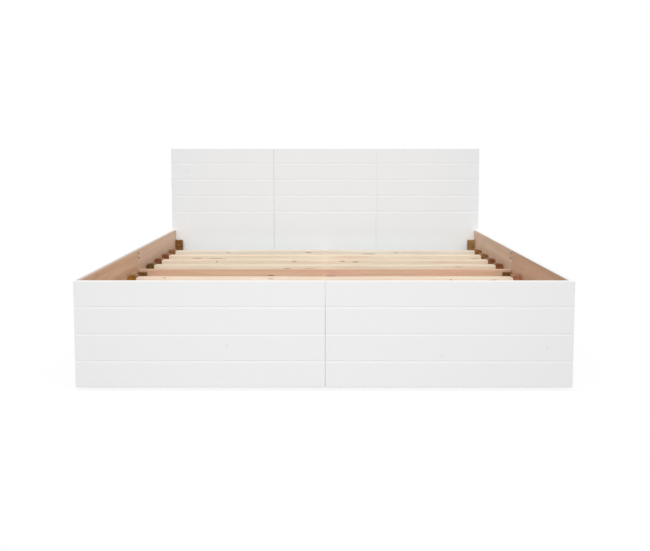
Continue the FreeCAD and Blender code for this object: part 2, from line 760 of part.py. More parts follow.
def castor_wheel():
    """Make a wheel with a rounded tread, a recess each side and a bore for the axle."""
    body = doc.addObject("PartDesign::Body", "castor_wheel")
    half = "wheel_width / 2"
    section = rectangle(
        body, "wheel_section", "XY_Plane", "wheel_width", "wheel_radius - axle_radius - axle_play",
        f"-{half}", "axle_radius + axle_play",
    )
    turned = body.newObject("PartDesign::Revolution", "wheel_turned")
    turned.Profile = section
    turned.ReferenceAxis = (origin(body, "X_Axis"), [""])
    turned.Angle = FULL_TURN
    doc.recompute()
    rim = turned.Shape.BoundBox.ZMax
    tread_edges = []
    for index, edge in enumerate(turned.Shape.Edges):
        curve = edge.Curve
        if isinstance(curve, Part.Circle) and abs(curve.Radius - rim) < NEAR:
            tread_edges.append(f"Edge{index + 1}")
    tread = body.newObject("PartDesign::Fillet", "wheel_tread")
    tread.Base = (turned, tread_edges)
    bind(tread, Radius="wheel_round")
    doc.recompute()
    for name, start in (("in", f"-{half}"), ("out", f"{half} - wheel_hub_recess")):
        ring = rectangle(
            body, f"wheel_recess_{name}", "XY_Plane", "wheel_hub_recess",
            "wheel_dish_radius - wheel_hub_radius", start, "wheel_hub_radius",
        )
        recess = body.newObject("PartDesign::Groove", f"wheel_dish_{name}")
        recess.Profile = ring
        recess.ReferenceAxis = (origin(body, "X_Axis"), [""])
        recess.Angle = FULL_TURN
        doc.recompute()
    return body


AXLE_ENDS = {"front": "wheel_front_y", "rear": "wheel_back_y"}
WHEEL_SIDES = ("wheel_in_x", "wheel_out_x")
every_wheel = [(x, y, "wheel_radius", UPWARDS) for y in AXLE_ENDS.values() for x in WHEEL_SIDES]
both_sides("drawer_{side}_castor_brackets", copies("castor_brackets", castor_bracket(), every_wheel))
both_sides("drawer_{side}_castor_axles", copies("castor_axles", castor_axle(), every_wheel))
wheel = castor_wheel()
for end, y in AXLE_ENDS.items():
    pair = copies(f"wheels_{end}", wheel, [(x, y, "wheel_radius", UPWARDS) for x in WHEEL_SIDES])
    both_sides("drawer_{side}_wheels_" + end, pair)


# Rebuild, check and write every sub-part

doc.recompute()
failed = [item.Label for item in doc.Objects if "Invalid" in item.State or "Error" in item.State]
if failed:
    raise RuntimeError("failed features: " + ", ".join(failed))
for node in nodes:
    if node.Shape.isNull() or not node.Shape.isValid() or not node.Shape.Solids:
        raise RuntimeError("bad shape: " + node.Label)
os.makedirs("parts", exist_ok=True)
for node in nodes:
    node.Shape.exportStep(f"parts/{node.Label}.step")
    limits = node.Shape.BoundBox
    print(node.Label, len(node.Shape.Solids), "solids", round(node.Shape.Volume), "mm3",
          "from", [round(value, 1) for value in (limits.XMin, limits.YMin, limits.ZMin)],
          "to", [round(value, 1) for value in (limits.XMax, limits.YMax, limits.ZMax)])
print(len(nodes), "nodes")
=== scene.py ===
import logging
import math
from dataclasses import dataclass
from enum import Enum
from typing import ClassVar, Optional, Sequence, Union

import bpy
import numpy as np
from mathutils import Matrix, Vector


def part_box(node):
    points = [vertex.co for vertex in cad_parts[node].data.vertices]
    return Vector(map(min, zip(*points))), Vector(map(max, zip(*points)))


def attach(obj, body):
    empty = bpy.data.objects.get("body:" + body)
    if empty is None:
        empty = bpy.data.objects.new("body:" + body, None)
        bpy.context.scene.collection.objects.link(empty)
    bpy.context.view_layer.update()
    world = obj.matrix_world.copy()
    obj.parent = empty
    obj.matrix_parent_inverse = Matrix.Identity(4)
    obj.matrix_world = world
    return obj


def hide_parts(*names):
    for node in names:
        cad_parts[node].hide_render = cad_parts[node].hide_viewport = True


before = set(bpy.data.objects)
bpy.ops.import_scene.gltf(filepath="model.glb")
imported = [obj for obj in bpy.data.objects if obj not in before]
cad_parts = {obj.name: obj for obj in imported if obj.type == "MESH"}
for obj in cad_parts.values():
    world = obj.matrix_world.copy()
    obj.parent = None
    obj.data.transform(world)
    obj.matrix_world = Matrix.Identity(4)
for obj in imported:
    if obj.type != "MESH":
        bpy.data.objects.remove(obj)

# Looks of a low white double bed with two wheeled drawers at the foot end, in metres.
# +Z is up, the foot end faces -Y and the headboard stands at +Y.

LOG = logging.getLogger("bed_with_drawers")
SIDES = ("left", "right")
ENDS = ("front", "rear")
WHITE_LIGHT = (1.0, 1.0, 1.0, 1.0)

Colour = tuple[float, float, float]
Place = tuple[float, float, float]
Reach = tuple[float, float]
Operand = Union["Wire", float]
Sockets = Optional[dict]


class Wire:
    """A value that runs through a node tree, with Python's arithmetic on it."""

    def __init__(self, graph: "Graph", socket: bpy.types.NodeSocket) -> None:
        """Hold one output socket of a tree."""
        self.graph = graph
        self.socket = socket

    def math(self, operation: str, *others: Operand) -> "Wire":
        """Add a Math node that starts from this value."""
        return self.graph.math(operation, self, *others)

    def __add__(self, other: Operand) -> "Wire":
        """Add."""
        return self.math("ADD", other)

    def __radd__(self, other: float) -> "Wire":
        """Add to a number."""
        return self.graph.math("ADD", other, self)

    def __sub__(self, other: Operand) -> "Wire":
        """Subtract."""
        return self.math("SUBTRACT", other)

    def __rsub__(self, other: float) -> "Wire":
        """Subtract from a number."""
        return self.graph.math("SUBTRACT", other, self)

    def __mul__(self, other: Operand) -> "Wire":
        """Multiply."""
        return self.math("MULTIPLY", other)

    def __rmul__(self, other: float) -> "Wire":
        """Multiply a number."""
        return self.graph.math("MULTIPLY", other, self)

    def __truediv__(self, other: Operand) -> "Wire":
        """Divide."""
        return self.math("DIVIDE", other)

    def __rtruediv__(self, other: float) -> "Wire":
        """Divide a number."""
        return self.graph.math("DIVIDE", other, self)

    def __abs__(self) -> "Wire":
        """Drop the sign."""
        return self.math("ABSOLUTE")

    def __lt__(self, other: Operand) -> "Wire":
        """Give 1 where this value is the smaller one, and 0 elsewhere."""
        return self.math("LESS_THAN", other)

    def __gt__(self, other: Operand) -> "Wire":
        """Give 1 where this value is the larger one, and 0 elsewhere."""
        return self.math("GREATER_THAN", other)

    def clamp(self) -> "Wire":
        """Hold the value between 0 and 1."""
        return self.math("MINIMUM", 1.0).math("MAXIMUM", 0.0)

    def smooth(self, low: float, high: float) -> "Wire":
        """Ease from 0 to 1 while the value goes from one number to another."""
        inputs = {"Value": self, "From Min": low, "From Max": high}
        return self.graph.wire("ShaderNodeMapRange", {"interpolation_type": "SMOOTHSTEP"}, inputs)


class Graph:
    """A node tree under construction, for a finish or for a shape."""

    COLOUR_MIX_SOCKETS = (6, 7)
    COLOUR_MIX_RESULT = 2

    def __init__(self, tree: bpy.types.NodeTree) -> None:
        """Start from an empty tree."""
        tree.nodes.clear()
        self.tree = tree

    def node(self, kind: str, settings: Sockets = None, inputs: Sockets = None) -> bpy.types.Node:
        """Add a node of any type.

        Args:
            kind: The node's type.
            settings: Its own settings, set before its sockets.
            inputs: Values or wires for its sockets, by name or number.

        Returns:
            The new node.
        """
        node = self.tree.nodes.new(kind)
        for name, value in (settings or {}).items():
            setattr(node, name, value)
        for name, value in (inputs or {}).items():
            if isinstance(value, Wire):
                self.tree.links.new(value.socket, node.inputs[name])
            else:
                node.inputs[name].default_value = value
        return node

    def wire(
        self, kind: str, settings: Sockets = None, inputs: Sockets = None, output: Union[int, str] = 0,
    ) -> Wire:
        """Add a node and give the result that is named or numbered."""
        return Wire(self, self.node(kind, settings, inputs).outputs[output])

    def math(self, operation: str, *operands: Operand) -> Wire:
        """Add a Math node on any mix of wires and numbers."""
        return self.wire("ShaderNodeMath", {"operation": operation}, dict(enumerate(operands)))

    def vector_math(self, operation: str, *operands: Union[Wire, Place], output: str = "Vector") -> Wire:
        """Add a Vector Math node on any mix of wires and places."""
        return self.wire("ShaderNodeVectorMath", {"operation": operation}, dict(enumerate(operands)), output)

    def parts(self, vector: Wire) -> tuple[Wire, Wire, Wire]:
        """Split a place into its X, Y and Z."""
        split = self.node("ShaderNodeSeparateXYZ", None, {0: vector})
        return tuple(Wire(self, socket) for socket in split.outputs)

    def join(self, x: Operand, y: Operand, z: Operand) -> Wire:
        """Join X, Y and Z to one place."""
        return self.wire("ShaderNodeCombineXYZ", None, {0: x, 1: y, 2: z})

    def stretch(self, axes: Sequence[Wire], scale: Place) -> Wire:
        """Join X, Y and Z to one place, each stretched by a scale of its own."""
        return self.join(*(axis * share for axis, share in zip(axes, scale)))

    def noise(self, place: Wire, scale: float, detail: float = 2.0, rough: float = 0.5) -> Wire:
        """Give a cloudy pattern between 0 and 1.

        Args:
            place: Where the pattern is read.
            scale: How many clouds there are to the metre.
            detail: How many finer layers are added.
            rough: How strong the finer layers are.

        Returns:
            The pattern's value.
        """
        inputs = {"Vector": place, "Scale": scale, "Detail": detail, "Roughness": rough}
        return self.wire("ShaderNodeTexNoise", None, inputs)

    def blend(self, share: Operand, first: Union[Wire, Colour], second: Union[Wire, Colour]) -> Wire:
        """Blend two colours, by the share of the second one that shows."""
        inputs = {0: share}
        for socket, colour in zip(self.COLOUR_MIX_SOCKETS, (first, second)):
            inputs[socket] = colour if isinstance(colour, Wire) else (*colour, 1.0)
        settings = {"data_type": "RGBA", "clamp_factor": True}
        return self.wire("ShaderNodeMix", settings, inputs, self.COLOUR_MIX_RESULT)


@dataclass(frozen=True)
class Coat:
    """What a finish gives each point of a surface."""

    colour: Wire
    roughness: Wire
    relief: Wire


class SurfaceGraph(Graph):
    """The node tree of one finish."""

    def __init__(self, name: str) -> None:
        """Start a material that reads places in the bed's own frame."""
        self.material = bpy.data.materials.new(name)
        self.material.use_nodes = True
        super().__init__(self.material.node_tree)
        self.place = self.wire("ShaderNodeTexCoord", output="Object")

    def away_from(self, place: Place) -> Wire:
        """Give the distance of each point of the surface from a place."""
        return self.vector_math("DISTANCE", self.place, place, output="Value")

    def attribute(self, name: str, output: str = "Fac") -> Wire:
        """Read an attribute of the mesh."""
        return self.wire("ShaderNodeAttribute", {"attribute_name": name}, None, output)

    def close(self, coat: Coat, relief_depth: float, metallic: float, specular: float) -> None:
        """Feed a coat to the surface shader.

        Args:
            coat: Colour, roughness and relief.
            relief_depth: Depth of the relief, in metres.
            metallic: 1 for bare metal.
            specular: Strength of the plain reflection.
        """
        bump = {"Height": coat.relief, "Distance": relief_depth, "Strength": 1.0}
        shader = self.wire("ShaderNodeBsdfPrincipled", None, {
            "Base Color": coat.colour,
            "Roughness": coat.roughness,
            "Normal": self.wire("ShaderNodeBump", None, bump),
            "Metallic": metallic,
            "Specular IOR Level": specular,
        })
        self.node("ShaderNodeOutputMaterial", None, {"Surface": shader})


class Grain(Enum):
    """Which way a board's grain runs: along, across and through it."""

    RAIL = ("Y", "Z", "X")
    CROSS_BOARD = ("X", "Z", "Y")
    FLAT_CROSSWISE = ("X", "Y", "Z")
    FLAT_LENGTHWISE = ("Y", "X", "Z")
    POST = ("Z", "X", "Y")


@dataclass(frozen=True)
class Pattern:
    """A cloudy pattern with a scale of its own along, across and through a board."""

    scale: Place
    detail: float
    reach: Reach = (0.0, 1.0)

    def field(self, graph: Graph, board: Sequence[Wire]) -> Wire:
        """Give the pattern's value between 0 and 1."""
        return graph.noise(graph.stretch(board, self.scale), 1.0, self.detail)


class Finish:
    """A finish that turns into one material, made once."""

    made: ClassVar[dict[str, bpy.types.Material]] = {}

    name: str
    relief_depth: float = 0.0002
    metallic: float = 0.0
    specular: float = 0.5

    def coat(self, graph: SurfaceGraph) -> Coat:
        """Give the finish's colour, roughness and relief."""
        raise NotImplementedError

    def material(self) -> bpy.types.Material:
        """Give the finish's material, made the first time it is asked for."""
        if self.name not in Finish.made:
            graph = SurfaceGraph(f"{self.name}_finish")
            graph.close(self.coat(graph), self.relief_depth, self.metallic, self.specular)
            Finish.made[self.name] = graph.material
        return Finish.made[self.name]


@dataclass(frozen=True)
class WhitePaint(Finish):
    """Satin white paint with a faint roller texture, through which a few knots show, and painted light that
    can lighten it toward the bottom.
    """

    name: str = "white_paint"
    colour: Colour = (0.845, 0.845, 0.843)
    shaded: Colour = (0.83, 0.83, 0.825)
    knot_colour: Colour = (0.79, 0.785, 0.77)
    knot_places: tuple[Place, ...] = ()
    knot_radius: float = 0.006
    # Painted light: the lighter colour that the paint blends to toward the bottom, and the heights over which
    # it does.
    painted_low_light: Colour = (0.845, 0.845, 0.843)
    painted_low_light_reach: Reach = (0.0, 0.0)
    roughness: float = 0.42
    relief_depth: float = 0.00006

    CLOUD = {"scale": 2.6, "detail": 3.0}
    CLOUD_REACH = (0.35, 0.8)
    CLOUD_SHARE = 0.25
    CLOUD_GLOSS = 0.08
    ROLLER = {"scale": 520.0, "detail": 2.0}
    ROLLER_REACH = (0.55, 0.9)
    ROLLER_SHARE = 0.15
    ROLLER_GLOSS = 0.1
    KNOT_RIM = 260.0
    KNOT_CORE = 0.4

    def coat(self, graph: SurfaceGraph) -> Coat:
        """Give the paint's colour, roughness and relief."""
        cloud = graph.noise(graph.place, **self.CLOUD)
        roller = graph.noise(graph.place, **self.ROLLER)
        colour = graph.blend(cloud.smooth(*self.CLOUD_REACH) * self.CLOUD_SHARE, self.colour, self.shaded)
        # Painted light: the paint turns lighter toward the bottom, between the two given heights.
        if any(self.painted_low_light_reach):
            height = graph.parts(graph.place)[2]
            colour = graph.blend(height.smooth(*self.painted_low_light_reach), colour, self.painted_low_light)
        colour = graph.blend(roller.smooth(*self.ROLLER_REACH) * self.ROLLER_SHARE, colour, self.shaded)
        for place in self.knot_places:
            rim = (graph.noise(graph.place, self.KNOT_RIM) - 0.5) * self.knot_radius
            ragged = graph.away_from(place) + rim
            outside = ragged.smooth(self.knot_radius * self.KNOT_CORE, self.knot_radius)
            colour = graph.blend(1 - outside, colour, self.knot_colour)
        roughness = self.roughness + (cloud - 0.5) * self.CLOUD_GLOSS + (roller - 0.5) * self.ROLLER_GLOSS
        return Coat(colour, roughness, roller + cloud)


@dataclass(frozen=True)
class Wood(Finish):
    """Bare wood with growth rings, fibres, slow streaks and knots."""

    name: str = "wood"
    grain: Grain = Grain.RAIL
    early: Colour = (0.62, 0.42, 0.28)
    late: Colour = (0.48, 0.29, 0.17)
    streak: Colour = (0.55, 0.34, 0.21)
    patch: Colour = (0.66, 0.4, 0.28)
    knot: Colour = (0.22, 0.11, 0.06)
    ring_gap: float = 0.007
    ring_share: float = 0.4
    fibre_share: float = 0.25
    streak_share: float = 0.5
    patch_share: float = 0.4
    knot_share: float = 0.25
    knot_size: float = 0.07
    roughness: float = 0.62
    seed: float = 0.0
    own_boards: bool = False
    # Painted light on the sides of boards with tones of their own: a paler colour and its share, standing in
    # for light falling on the sides.
    painted_side_light: Colour = (0.9, 0.79, 0.615)
    painted_side_light_share: float = 0.75
    blush: Colour = (0.83, 0.6, 0.47)
    pale: Colour = (0.93, 0.85, 0.7)
    uneven_share: float = 0.8
    marks: tuple[tuple[Place, Place], ...] = ()
    mark_share: float = 0.75
    relief_depth: float = 0.00025
    specular: float = 0.35

    WOBBLE = Pattern((0.9, 7.0, 7.0), 3.0)
    SLOW = Pattern((2.5, 11.0, 11.0), 2.0, (0.42, 0.66))
    STREAK = Pattern((1.1, 42.0, 42.0), 3.0, (0.4, 0.7))
    FIBRE = Pattern((9.0, 480.0, 480.0), 2.0, (0.42, 0.75))
    PORE = Pattern((40.0, 900.0, 900.0), 1.0, (0.62, 0.8))
    UNEVEN = Pattern((5.0, 40.0, 110.0), 3.0, (0.5, 0.74))
    PALE_REACH = (0.5, 0.26)
    BOARD_SPREAD = 37.0
    SHIFT_SHARES = (1.0, 0.31, 0.17)
    KNOT_CELLS = (3.1, 8.0, 0.4)
    KNOT_CORE = 0.55
    KNOT_CORE_SHARE = 0.85
    KNOT_HALO = (3.0, 0.6)
    KNOT_HALO_SHARE = 0.35
    HEART_ASIDE = 0.02
    HEART_DEPTH = 0.05
    HEART_STRETCH = 1.6
    RING_FLATNESS = 0.35
    RING_WOBBLE = 5.5
    RING_BEND = 1.6
    RING_RISE = (0.25, 0.9)
    RING_FALL = (1.0, 0.93)
    MARK_REACH = (1.3, 0.5)
    MARK_RIM = 0.6
    FIBRE_GLOSS = 0.16
    RING_GLOSS = 0.05
    FIBRE_RELIEF = 0.5
    RING_RELIEF = 0.3
    PORE_RELIEF = 0.3

    def coat(self, graph: SurfaceGraph) -> Coat:
        """Give the wood's colour, roughness and relief."""
        axes = dict(zip("XYZ", graph.parts(graph.place)))
        shift = self.seed
        if self.own_boards:
            shift = graph.attribute("board") * self.BOARD_SPREAD + self.seed
        board = [axes[letter] + shift * share for letter, share in zip(self.grain.value, self.SHIFT_SHARES)]
        core, halo = self.knots(graph, board)
        ring = self.rings(graph, board, halo)
        slow, streak, fibre, pore = (
            pattern.field(graph, board) for pattern in (self.SLOW, self.STREAK, self.FIBRE, self.PORE)
        )
        colour = graph.blend(ring * self.ring_share, self.early, self.late)
        colour = graph.blend(slow.smooth(*self.SLOW.reach) * self.patch_share, colour, self.patch)
        colour = graph.blend(streak.smooth(*self.STREAK.reach) * self.streak_share, colour, self.streak)
        colour = graph.blend(fibre.smooth(*self.FIBRE.reach) * self.fibre_share, colour, self.late)
        colour = graph.blend(pore.smooth(*self.PORE.reach) * self.fibre_share, colour, self.knot)
        if self.own_boards:
            colour = self.own_tone(graph, board, colour)
        colour = graph.blend(halo * self.KNOT_HALO_SHARE, colour, self.late)
        colour = graph.blend(core * self.KNOT_CORE_SHARE, colour, self.knot)
        # Dark marks at given places: knots and streaks in the wood, and in places painted shadow.
        for middle, half in self.marks:
            away = graph.vector_math("DIVIDE", graph.vector_math("SUBTRACT", graph.place, middle), half)
            away = graph.vector_math("LENGTH", away, output="Value")
            ragged = away + (fibre - 0.5) * self.MARK_RIM
            colour = graph.blend(ragged.smooth(*self.MARK_REACH) * self.mark_share, colour, self.knot)
        roughness = self.roughness + (fibre - 0.5) * self.FIBRE_GLOSS - ring * self.RING_GLOSS
        relief = fibre * self.FIBRE_RELIEF + ring * self.RING_RELIEF + pore * self.PORE_RELIEF
        return Coat(colour, roughness, relief)

    def knots(self, graph: SurfaceGraph, board: Sequence[Wire]) -> tuple[Wire, Wire]:
        """Give the knots' dark cores and the halos around them."""
        cells = graph.node("ShaderNodeTexVoronoi", None, {
            "Vector": graph.stretch(board, self.KNOT_CELLS), "Scale": 1.0,
        })
        distance, chance = (Wire(graph, cells.outputs[name]) for name in ("Distance", "Color"))
        present = graph.parts(chance)[0] < self.knot_share
        size = self.knot_size
        core = present * distance.smooth(size, size * self.KNOT_CORE)
        halo = present * distance.smooth(*(size * share for share in self.KNOT_HALO))
        return core, halo

    def rings(self, graph: SurfaceGraph, board: Sequence[Wire], halo: Wire) -> Wire:
        """Give the growth rings, which wobble and bend around the knots."""
        wobble = self.WOBBLE.field(graph, board) - 0.5
        wide = board[1] + self.HEART_ASIDE
        deep = board[2] * self.HEART_STRETCH + self.HEART_DEPTH
        radius = (wide * wide * self.RING_FLATNESS + deep * deep).math("SQRT")
        phase = radius / self.ring_gap + wobble * self.RING_WOBBLE + halo * self.RING_BEND
        part = phase.math("FRACT")
        return part.smooth(*self.RING_RISE) * part.smooth(*self.RING_FALL)

    def own_tone(self, graph: SurfaceGraph, board: Sequence[Wire], colour: Wire) -> Wire:
        """Give each board of a set painted light on its sides, uneven patches and a tint of its own."""
        # Painted light: each board's sides are blended toward a paler colour.
        colour = graph.blend(graph.attribute("painted_light_sides") * self.painted_side_light_share, colour, self.painted_side_light)
        uneven = self.UNEVEN.field(graph, board)
        colour = graph.blend(uneven.smooth(*self.UNEVEN.reach) * self.uneven_share, colour, self.blush)
        colour = graph.blend(uneven.smooth(*self.PALE_REACH) * self.uneven_share, colour, self.pale)
        return graph.vector_math("MULTIPLY", colour, graph.attribute("tint", "Vector"))


@dataclass(frozen=True)
class FacedBoard(Finish):
    """A board that is painted on its faces in view and left bare on the hidden one."""

    name: str = "faced_board"
    paint: WhitePaint = WhitePaint()
    bare: Wood = Wood()
    axis: str = "X"
    paint_edge: float = 0.0
    feather: float = 0.00024
    keep_sign: bool = False
    painted_beyond: bool = True
    line: Colour = (0.3, 0.28, 0.265)
    line_share: float = 0.0
    line_start: float = 0.0
    face_line_share: float = 0.0
    face_line_low: float = 0.0
    # Painted shade: the bare wood darkens toward this colour below the given heights, just above the slats.
    shade: Colour = (0.26, 0.1, 0.02)
    painted_shade_share: float = 0.0
    painted_shade_reach: Reach = (0.287, 0.252)
    relief_depth: float = 0.0001

    RAGGED_SCALE = 90.0
    RAGGED_DEPTH = 0.0006
    LINE_FEATHER = 0.0004
    FACE_LINE_FEATHER = 0.001
    BARE_RELIEF = 2.0
    PAINT_RELIEF = 0.5

    def coat(self, graph: SurfaceGraph) -> Coat:
        """Give paint and bare wood, with a slightly ragged line between them, and painted shade low on the
        bare wood.
        """
        axes = dict(zip("XYZ", graph.parts(graph.place)))
        depth = axes[self.axis] if self.keep_sign else abs(axes[self.axis])
        ragged = depth + (graph.noise(graph.place, self.RAGGED_SCALE) - 0.5) * self.RAGGED_DEPTH
        low, high = self.paint_edge - self.feather / 2, self.paint_edge + self.feather / 2
        painted = ragged.smooth(low, high) if self.painted_beyond else ragged.smooth(high, low)
        paint = self.paint.coat(graph)
        bare = self.bare.coat(graph)
        lined = depth.smooth(self.line_start, self.line_start + self.LINE_FEATHER) * self.line_share
        face_lined = axes["Z"].smooth(self.face_line_low, self.face_line_low + self.FACE_LINE_FEATHER)
        lined = lined.math("MAXIMUM", face_lined * self.face_line_share)
        # Painted shade: the bare wood darkens toward the bottom, where the slats meet the rail.
        colour = graph.blend(axes["Z"].smooth(*self.painted_shade_reach) * self.painted_shade_share, bare.colour, self.shade)
        colour = graph.blend(lined, colour, self.line)
        colour = graph.blend(painted, colour, paint.colour)
        roughness = bare.roughness + (paint.roughness - bare.roughness) * painted
        relief = bare.relief * self.BARE_RELIEF * (1 - painted) + paint.relief * self.PAINT_RELIEF * painted
        return Coat(colour, roughness, relief)


@dataclass(frozen=True)
class Plywood(Finish):
    """A thin birch sheet whose edge shows its layers."""

    name: str = "drawer_plywood"
    face: Wood = Wood()
    glue: Colour = (0.33, 0.2, 0.11)
    layer: float = 0.0012
    low: float = 0.047
    high: float = 0.053

    FACE_LAYER = (0.0006, 0.0009)
    BAND_REACH = (0.42, 0.58)
    GLUE_SHARE = 0.55

    def coat(self, graph: SurfaceGraph) -> Coat:
        """Give the face's grain, and dark and pale layers between the faces."""
        height = graph.parts(graph.place)[2]
        face = self.face.coat(graph)
        inside = height.smooth(*(self.low + depth for depth in self.FACE_LAYER))
        inside = inside * height.smooth(*(self.high - depth for depth in self.FACE_LAYER))
        band = ((height - self.low) / (self.layer * 2.0)).math("FRACT").smooth(*self.BAND_REACH)
        colour = graph.blend(inside * band * self.GLUE_SHARE, face.colour, self.glue)
        return Coat(colour, face.roughness, face.relief)


@dataclass(frozen=True)
class MouldedPlastic(Finish):
    """Mottled moulded plastic, of which some pieces have a tint of their own."""

    name: str = "brown_plastic"
    colour: Colour = (0.225, 0.083, 0.03)
    tinted: tuple[tuple[Place, Colour], ...] = ()
    tint_reach: float = 0.05
    mottle: float = 2.2
    roughness: float = 0.42
    specular: float = 0.12
    relief_depth: float = 0.00008

    CLOUD = {"scale": 95.0, "detail": 4.0, "rough": 0.65}
    CLOUD_GLOSS = 0.2
    CLOUD_RELIEF = 0.4
    FINE = {"scale": 1400.0, "detail": 1.0}
    FINE_RELIEF = 0.6
    TINT_EDGE = 0.9

    def coat(self, graph: SurfaceGraph) -> Coat:
        """Give the plastic's tint, its mottling and its fine grain."""
        cloud = graph.noise(graph.place, **self.CLOUD)
        fine = graph.noise(graph.place, **self.FINE)
        colour = self.colour
        for place, tint in self.tinted:
            near = graph.away_from(place).smooth(self.tint_reach, self.tint_reach * self.TINT_EDGE)
            colour = graph.blend(near, colour, tint)
        shade = 1.0 + (cloud - 0.5) * self.mottle
        colour = graph.wire("ShaderNodeVectorMath", {"operation": "SCALE"}, {0: colour, "Scale": shade})
        roughness = self.roughness + (cloud - 0.5) * self.CLOUD_GLOSS
        return Coat(colour, roughness, fine * self.FINE_RELIEF + cloud * self.CLOUD_RELIEF)


@dataclass(frozen=True)
class PlatedSteel(Finish):
    """Yellow zinc-plated steel with cloudy patches and fine scratches."""

    name: str = "zinc_steel"
    colour: Colour = (0.45, 0.38, 0.24)
    patch: Colour = (0.34, 0.29, 0.19)
    roughness: float = 0.42
    relief_depth: float = 0.00003
    metallic: float = 1.0

    CLOUD = {"scale": 70.0, "detail": 3.0}
    CLOUD_REACH = (0.45, 0.75)
    CLOUD_SHARE = 0.6
    CLOUD_GLOSS = 0.22
    SCRATCH = Pattern((300.0, 300.0, 2600.0), 2.0)
    SCRATCH_GLOSS = 0.12

    def coat(self, graph: SurfaceGraph) -> Coat:
        """Give the plating's colour, gloss and scratches."""
        cloud = graph.noise(graph.place, **self.CLOUD)
        scratch = self.SCRATCH.field(graph, graph.parts(graph.place))
        colour = graph.blend(cloud.smooth(*self.CLOUD_REACH) * self.CLOUD_SHARE, self.colour, self.patch)
        roughness = self.roughness + (cloud - 0.5) * self.CLOUD_GLOSS + (scratch - 0.5) * self.SCRATCH_GLOSS
        return Coat(colour, roughness, scratch)


KNOTS_UNDER_PAINT = (
    (-0.280, -1.033, 0.132),
    (0.338, -1.033, 0.103),
    (0.643, -1.033, 0.126),
    (-0.648, 0.997, 0.597),
)
RAIL_INSIDE = 0.702
BACK_OF_FRONTS = -1.015
BACK_OF_HEAD = 1.015
ARRIS = 0.0009

PAINT = WhitePaint(knot_places=KNOTS_UNDER_PAINT)
# The headboard's paint is a copy of the fronts' white paint whose cooler tone is painted light, matched to
# the headboard's light, and it is painted lighter toward the bottom as painted light.
HEAD_PAINT = WhitePaint(
    name="head_paint", colour=(0.828, 0.843, 0.856), shaded=(0.815, 0.828, 0.838),
    knot_places=KNOTS_UNDER_PAINT, knot_colour=(0.785, 0.795, 0.8), knot_radius=0.011,
    painted_low_light=(0.875, 0.92, 0.925), painted_low_light_reach=(0.325, 0.235),
)
RAIL_WOOD = {
    ("left", "front"): Wood(
        name="rail_wood_left_front", seed=1.3, early=(0.73, 0.485, 0.32), late=(0.54, 0.32, 0.18),
        streak=(0.58, 0.35, 0.21), patch=(0.74, 0.45, 0.31), streak_share=0.8, patch_share=0.65,
        # Painted shadow: a dark patch near the top of the left front board's bare face, behind the drawer
        # fronts.
        marks=(((-0.702, -0.796, 0.3109), (0.004, 0.016, 0.0035)),), mark_share=0.5,
    ),
    ("right", "front"): Wood(
        name="rail_wood_right_front", seed=2.7, early=(0.64, 0.425, 0.285), late=(0.47, 0.275, 0.16),
        streak=(0.5, 0.3, 0.19), patch=(0.63, 0.38, 0.27), streak_share=0.8, patch_share=0.65,
        marks=(
            ((0.702, -0.164, 0.271), (0.004, 0.04, 0.0016)),
            ((0.702, -0.287, 0.277), (0.004, 0.05, 0.0016)),
        ),
        mark_share=0.4,
    ),
    ("left", "rear"): Wood(
        name="rail_wood_left_rear", seed=4.1, early=(0.81, 0.565, 0.4), late=(0.62, 0.39, 0.24),
        streak=(0.66, 0.43, 0.29), patch=(0.79, 0.52, 0.39), streak_share=0.65, patch_share=0.6,
    ),
    ("right", "rear"): Wood(
        name="rail_wood_right_rear", seed=5.9, early=(0.77, 0.545, 0.38), late=(0.59, 0.38, 0.23),
        streak=(0.63, 0.42, 0.28), patch=(0.76, 0.5, 0.36), streak_share=0.7, patch_share=0.6,
    ),
}
RAIL_EDGE = {
    "left": {"paint_edge": RAIL_INSIDE + 0.0125, "feather": 0.014, "line_share": 0.5},
    "right": {"paint_edge": RAIL_INSIDE + 0.004, "feather": 0.006, "line_share": 0.8},
}
RAIL_LINE = {"line_start": RAIL_INSIDE + 0.0002, "face_line_share": 0.24, "face_line_low": 0.317}
# Share of painted shade on each rail board's bare face, darker toward the slats.
RAIL_PAINTED_SHADE = {
    ("left", "front"): 0.12, ("left", "rear"): 0.27, ("right", "front"): 0.06, ("right", "rear"): 0.06,
}
RAIL_BOARD = {
    place: FacedBoard(
        name=f"rail_board_{place[0]}_{place[1]}", paint=PAINT, bare=wood, painted_shade_share=RAIL_PAINTED_SHADE[place],
        **RAIL_LINE, **RAIL_EDGE[place[0]],
    )
    for place, wood in RAIL_WOOD.items()
}
PANEL_FACED = {
    "bare": Wood(name="panel_wood", grain=Grain.CROSS_BOARD, seed=2.2), "axis": "Y", "keep_sign": True,
    "painted_beyond": False,
}
FRONT_FACED = FacedBoard(
    name="drawer_front_board", paint=PAINT, paint_edge=BACK_OF_FRONTS - ARRIS, **PANEL_FACED,
)
HEAD_FACED = FacedBoard(
    name="headboard_board", paint=HEAD_PAINT, paint_edge=BACK_OF_HEAD - ARRIS, **PANEL_FACED,
)
CROSS_WOOD = Wood(
    name="cross_panel_wood", grain=Grain.CROSS_BOARD, seed=7.7, early=(0.66, 0.455, 0.325),
    late=(0.52, 0.325, 0.21), streak=(0.58, 0.37, 0.245), patch=(0.68, 0.4, 0.3), streak_share=0.65,
    patch_share=0.7, marks=(((-0.203, -0.048, 0.2245), (0.014, 0.004, 0.003)),),
)
LONG_WOOD = Wood(name="centre_board_wood", grain=Grain.RAIL, seed=9.4)
POST_WOOD = Wood(name="leg_wood", grain=Grain.POST, seed=3.6)
PINE = {
    "early": (0.81, 0.69, 0.515), "late": (0.7, 0.525, 0.345), "streak": (0.77, 0.61, 0.455),
    "patch": (0.81, 0.64, 0.49), "knot": (0.36, 0.21, 0.12),
}
SLAT_TONES = {
    **PINE, "early": (0.822, 0.71, 0.535), "streak": (0.755, 0.595, 0.44), "patch": (0.82, 0.615, 0.47),
}
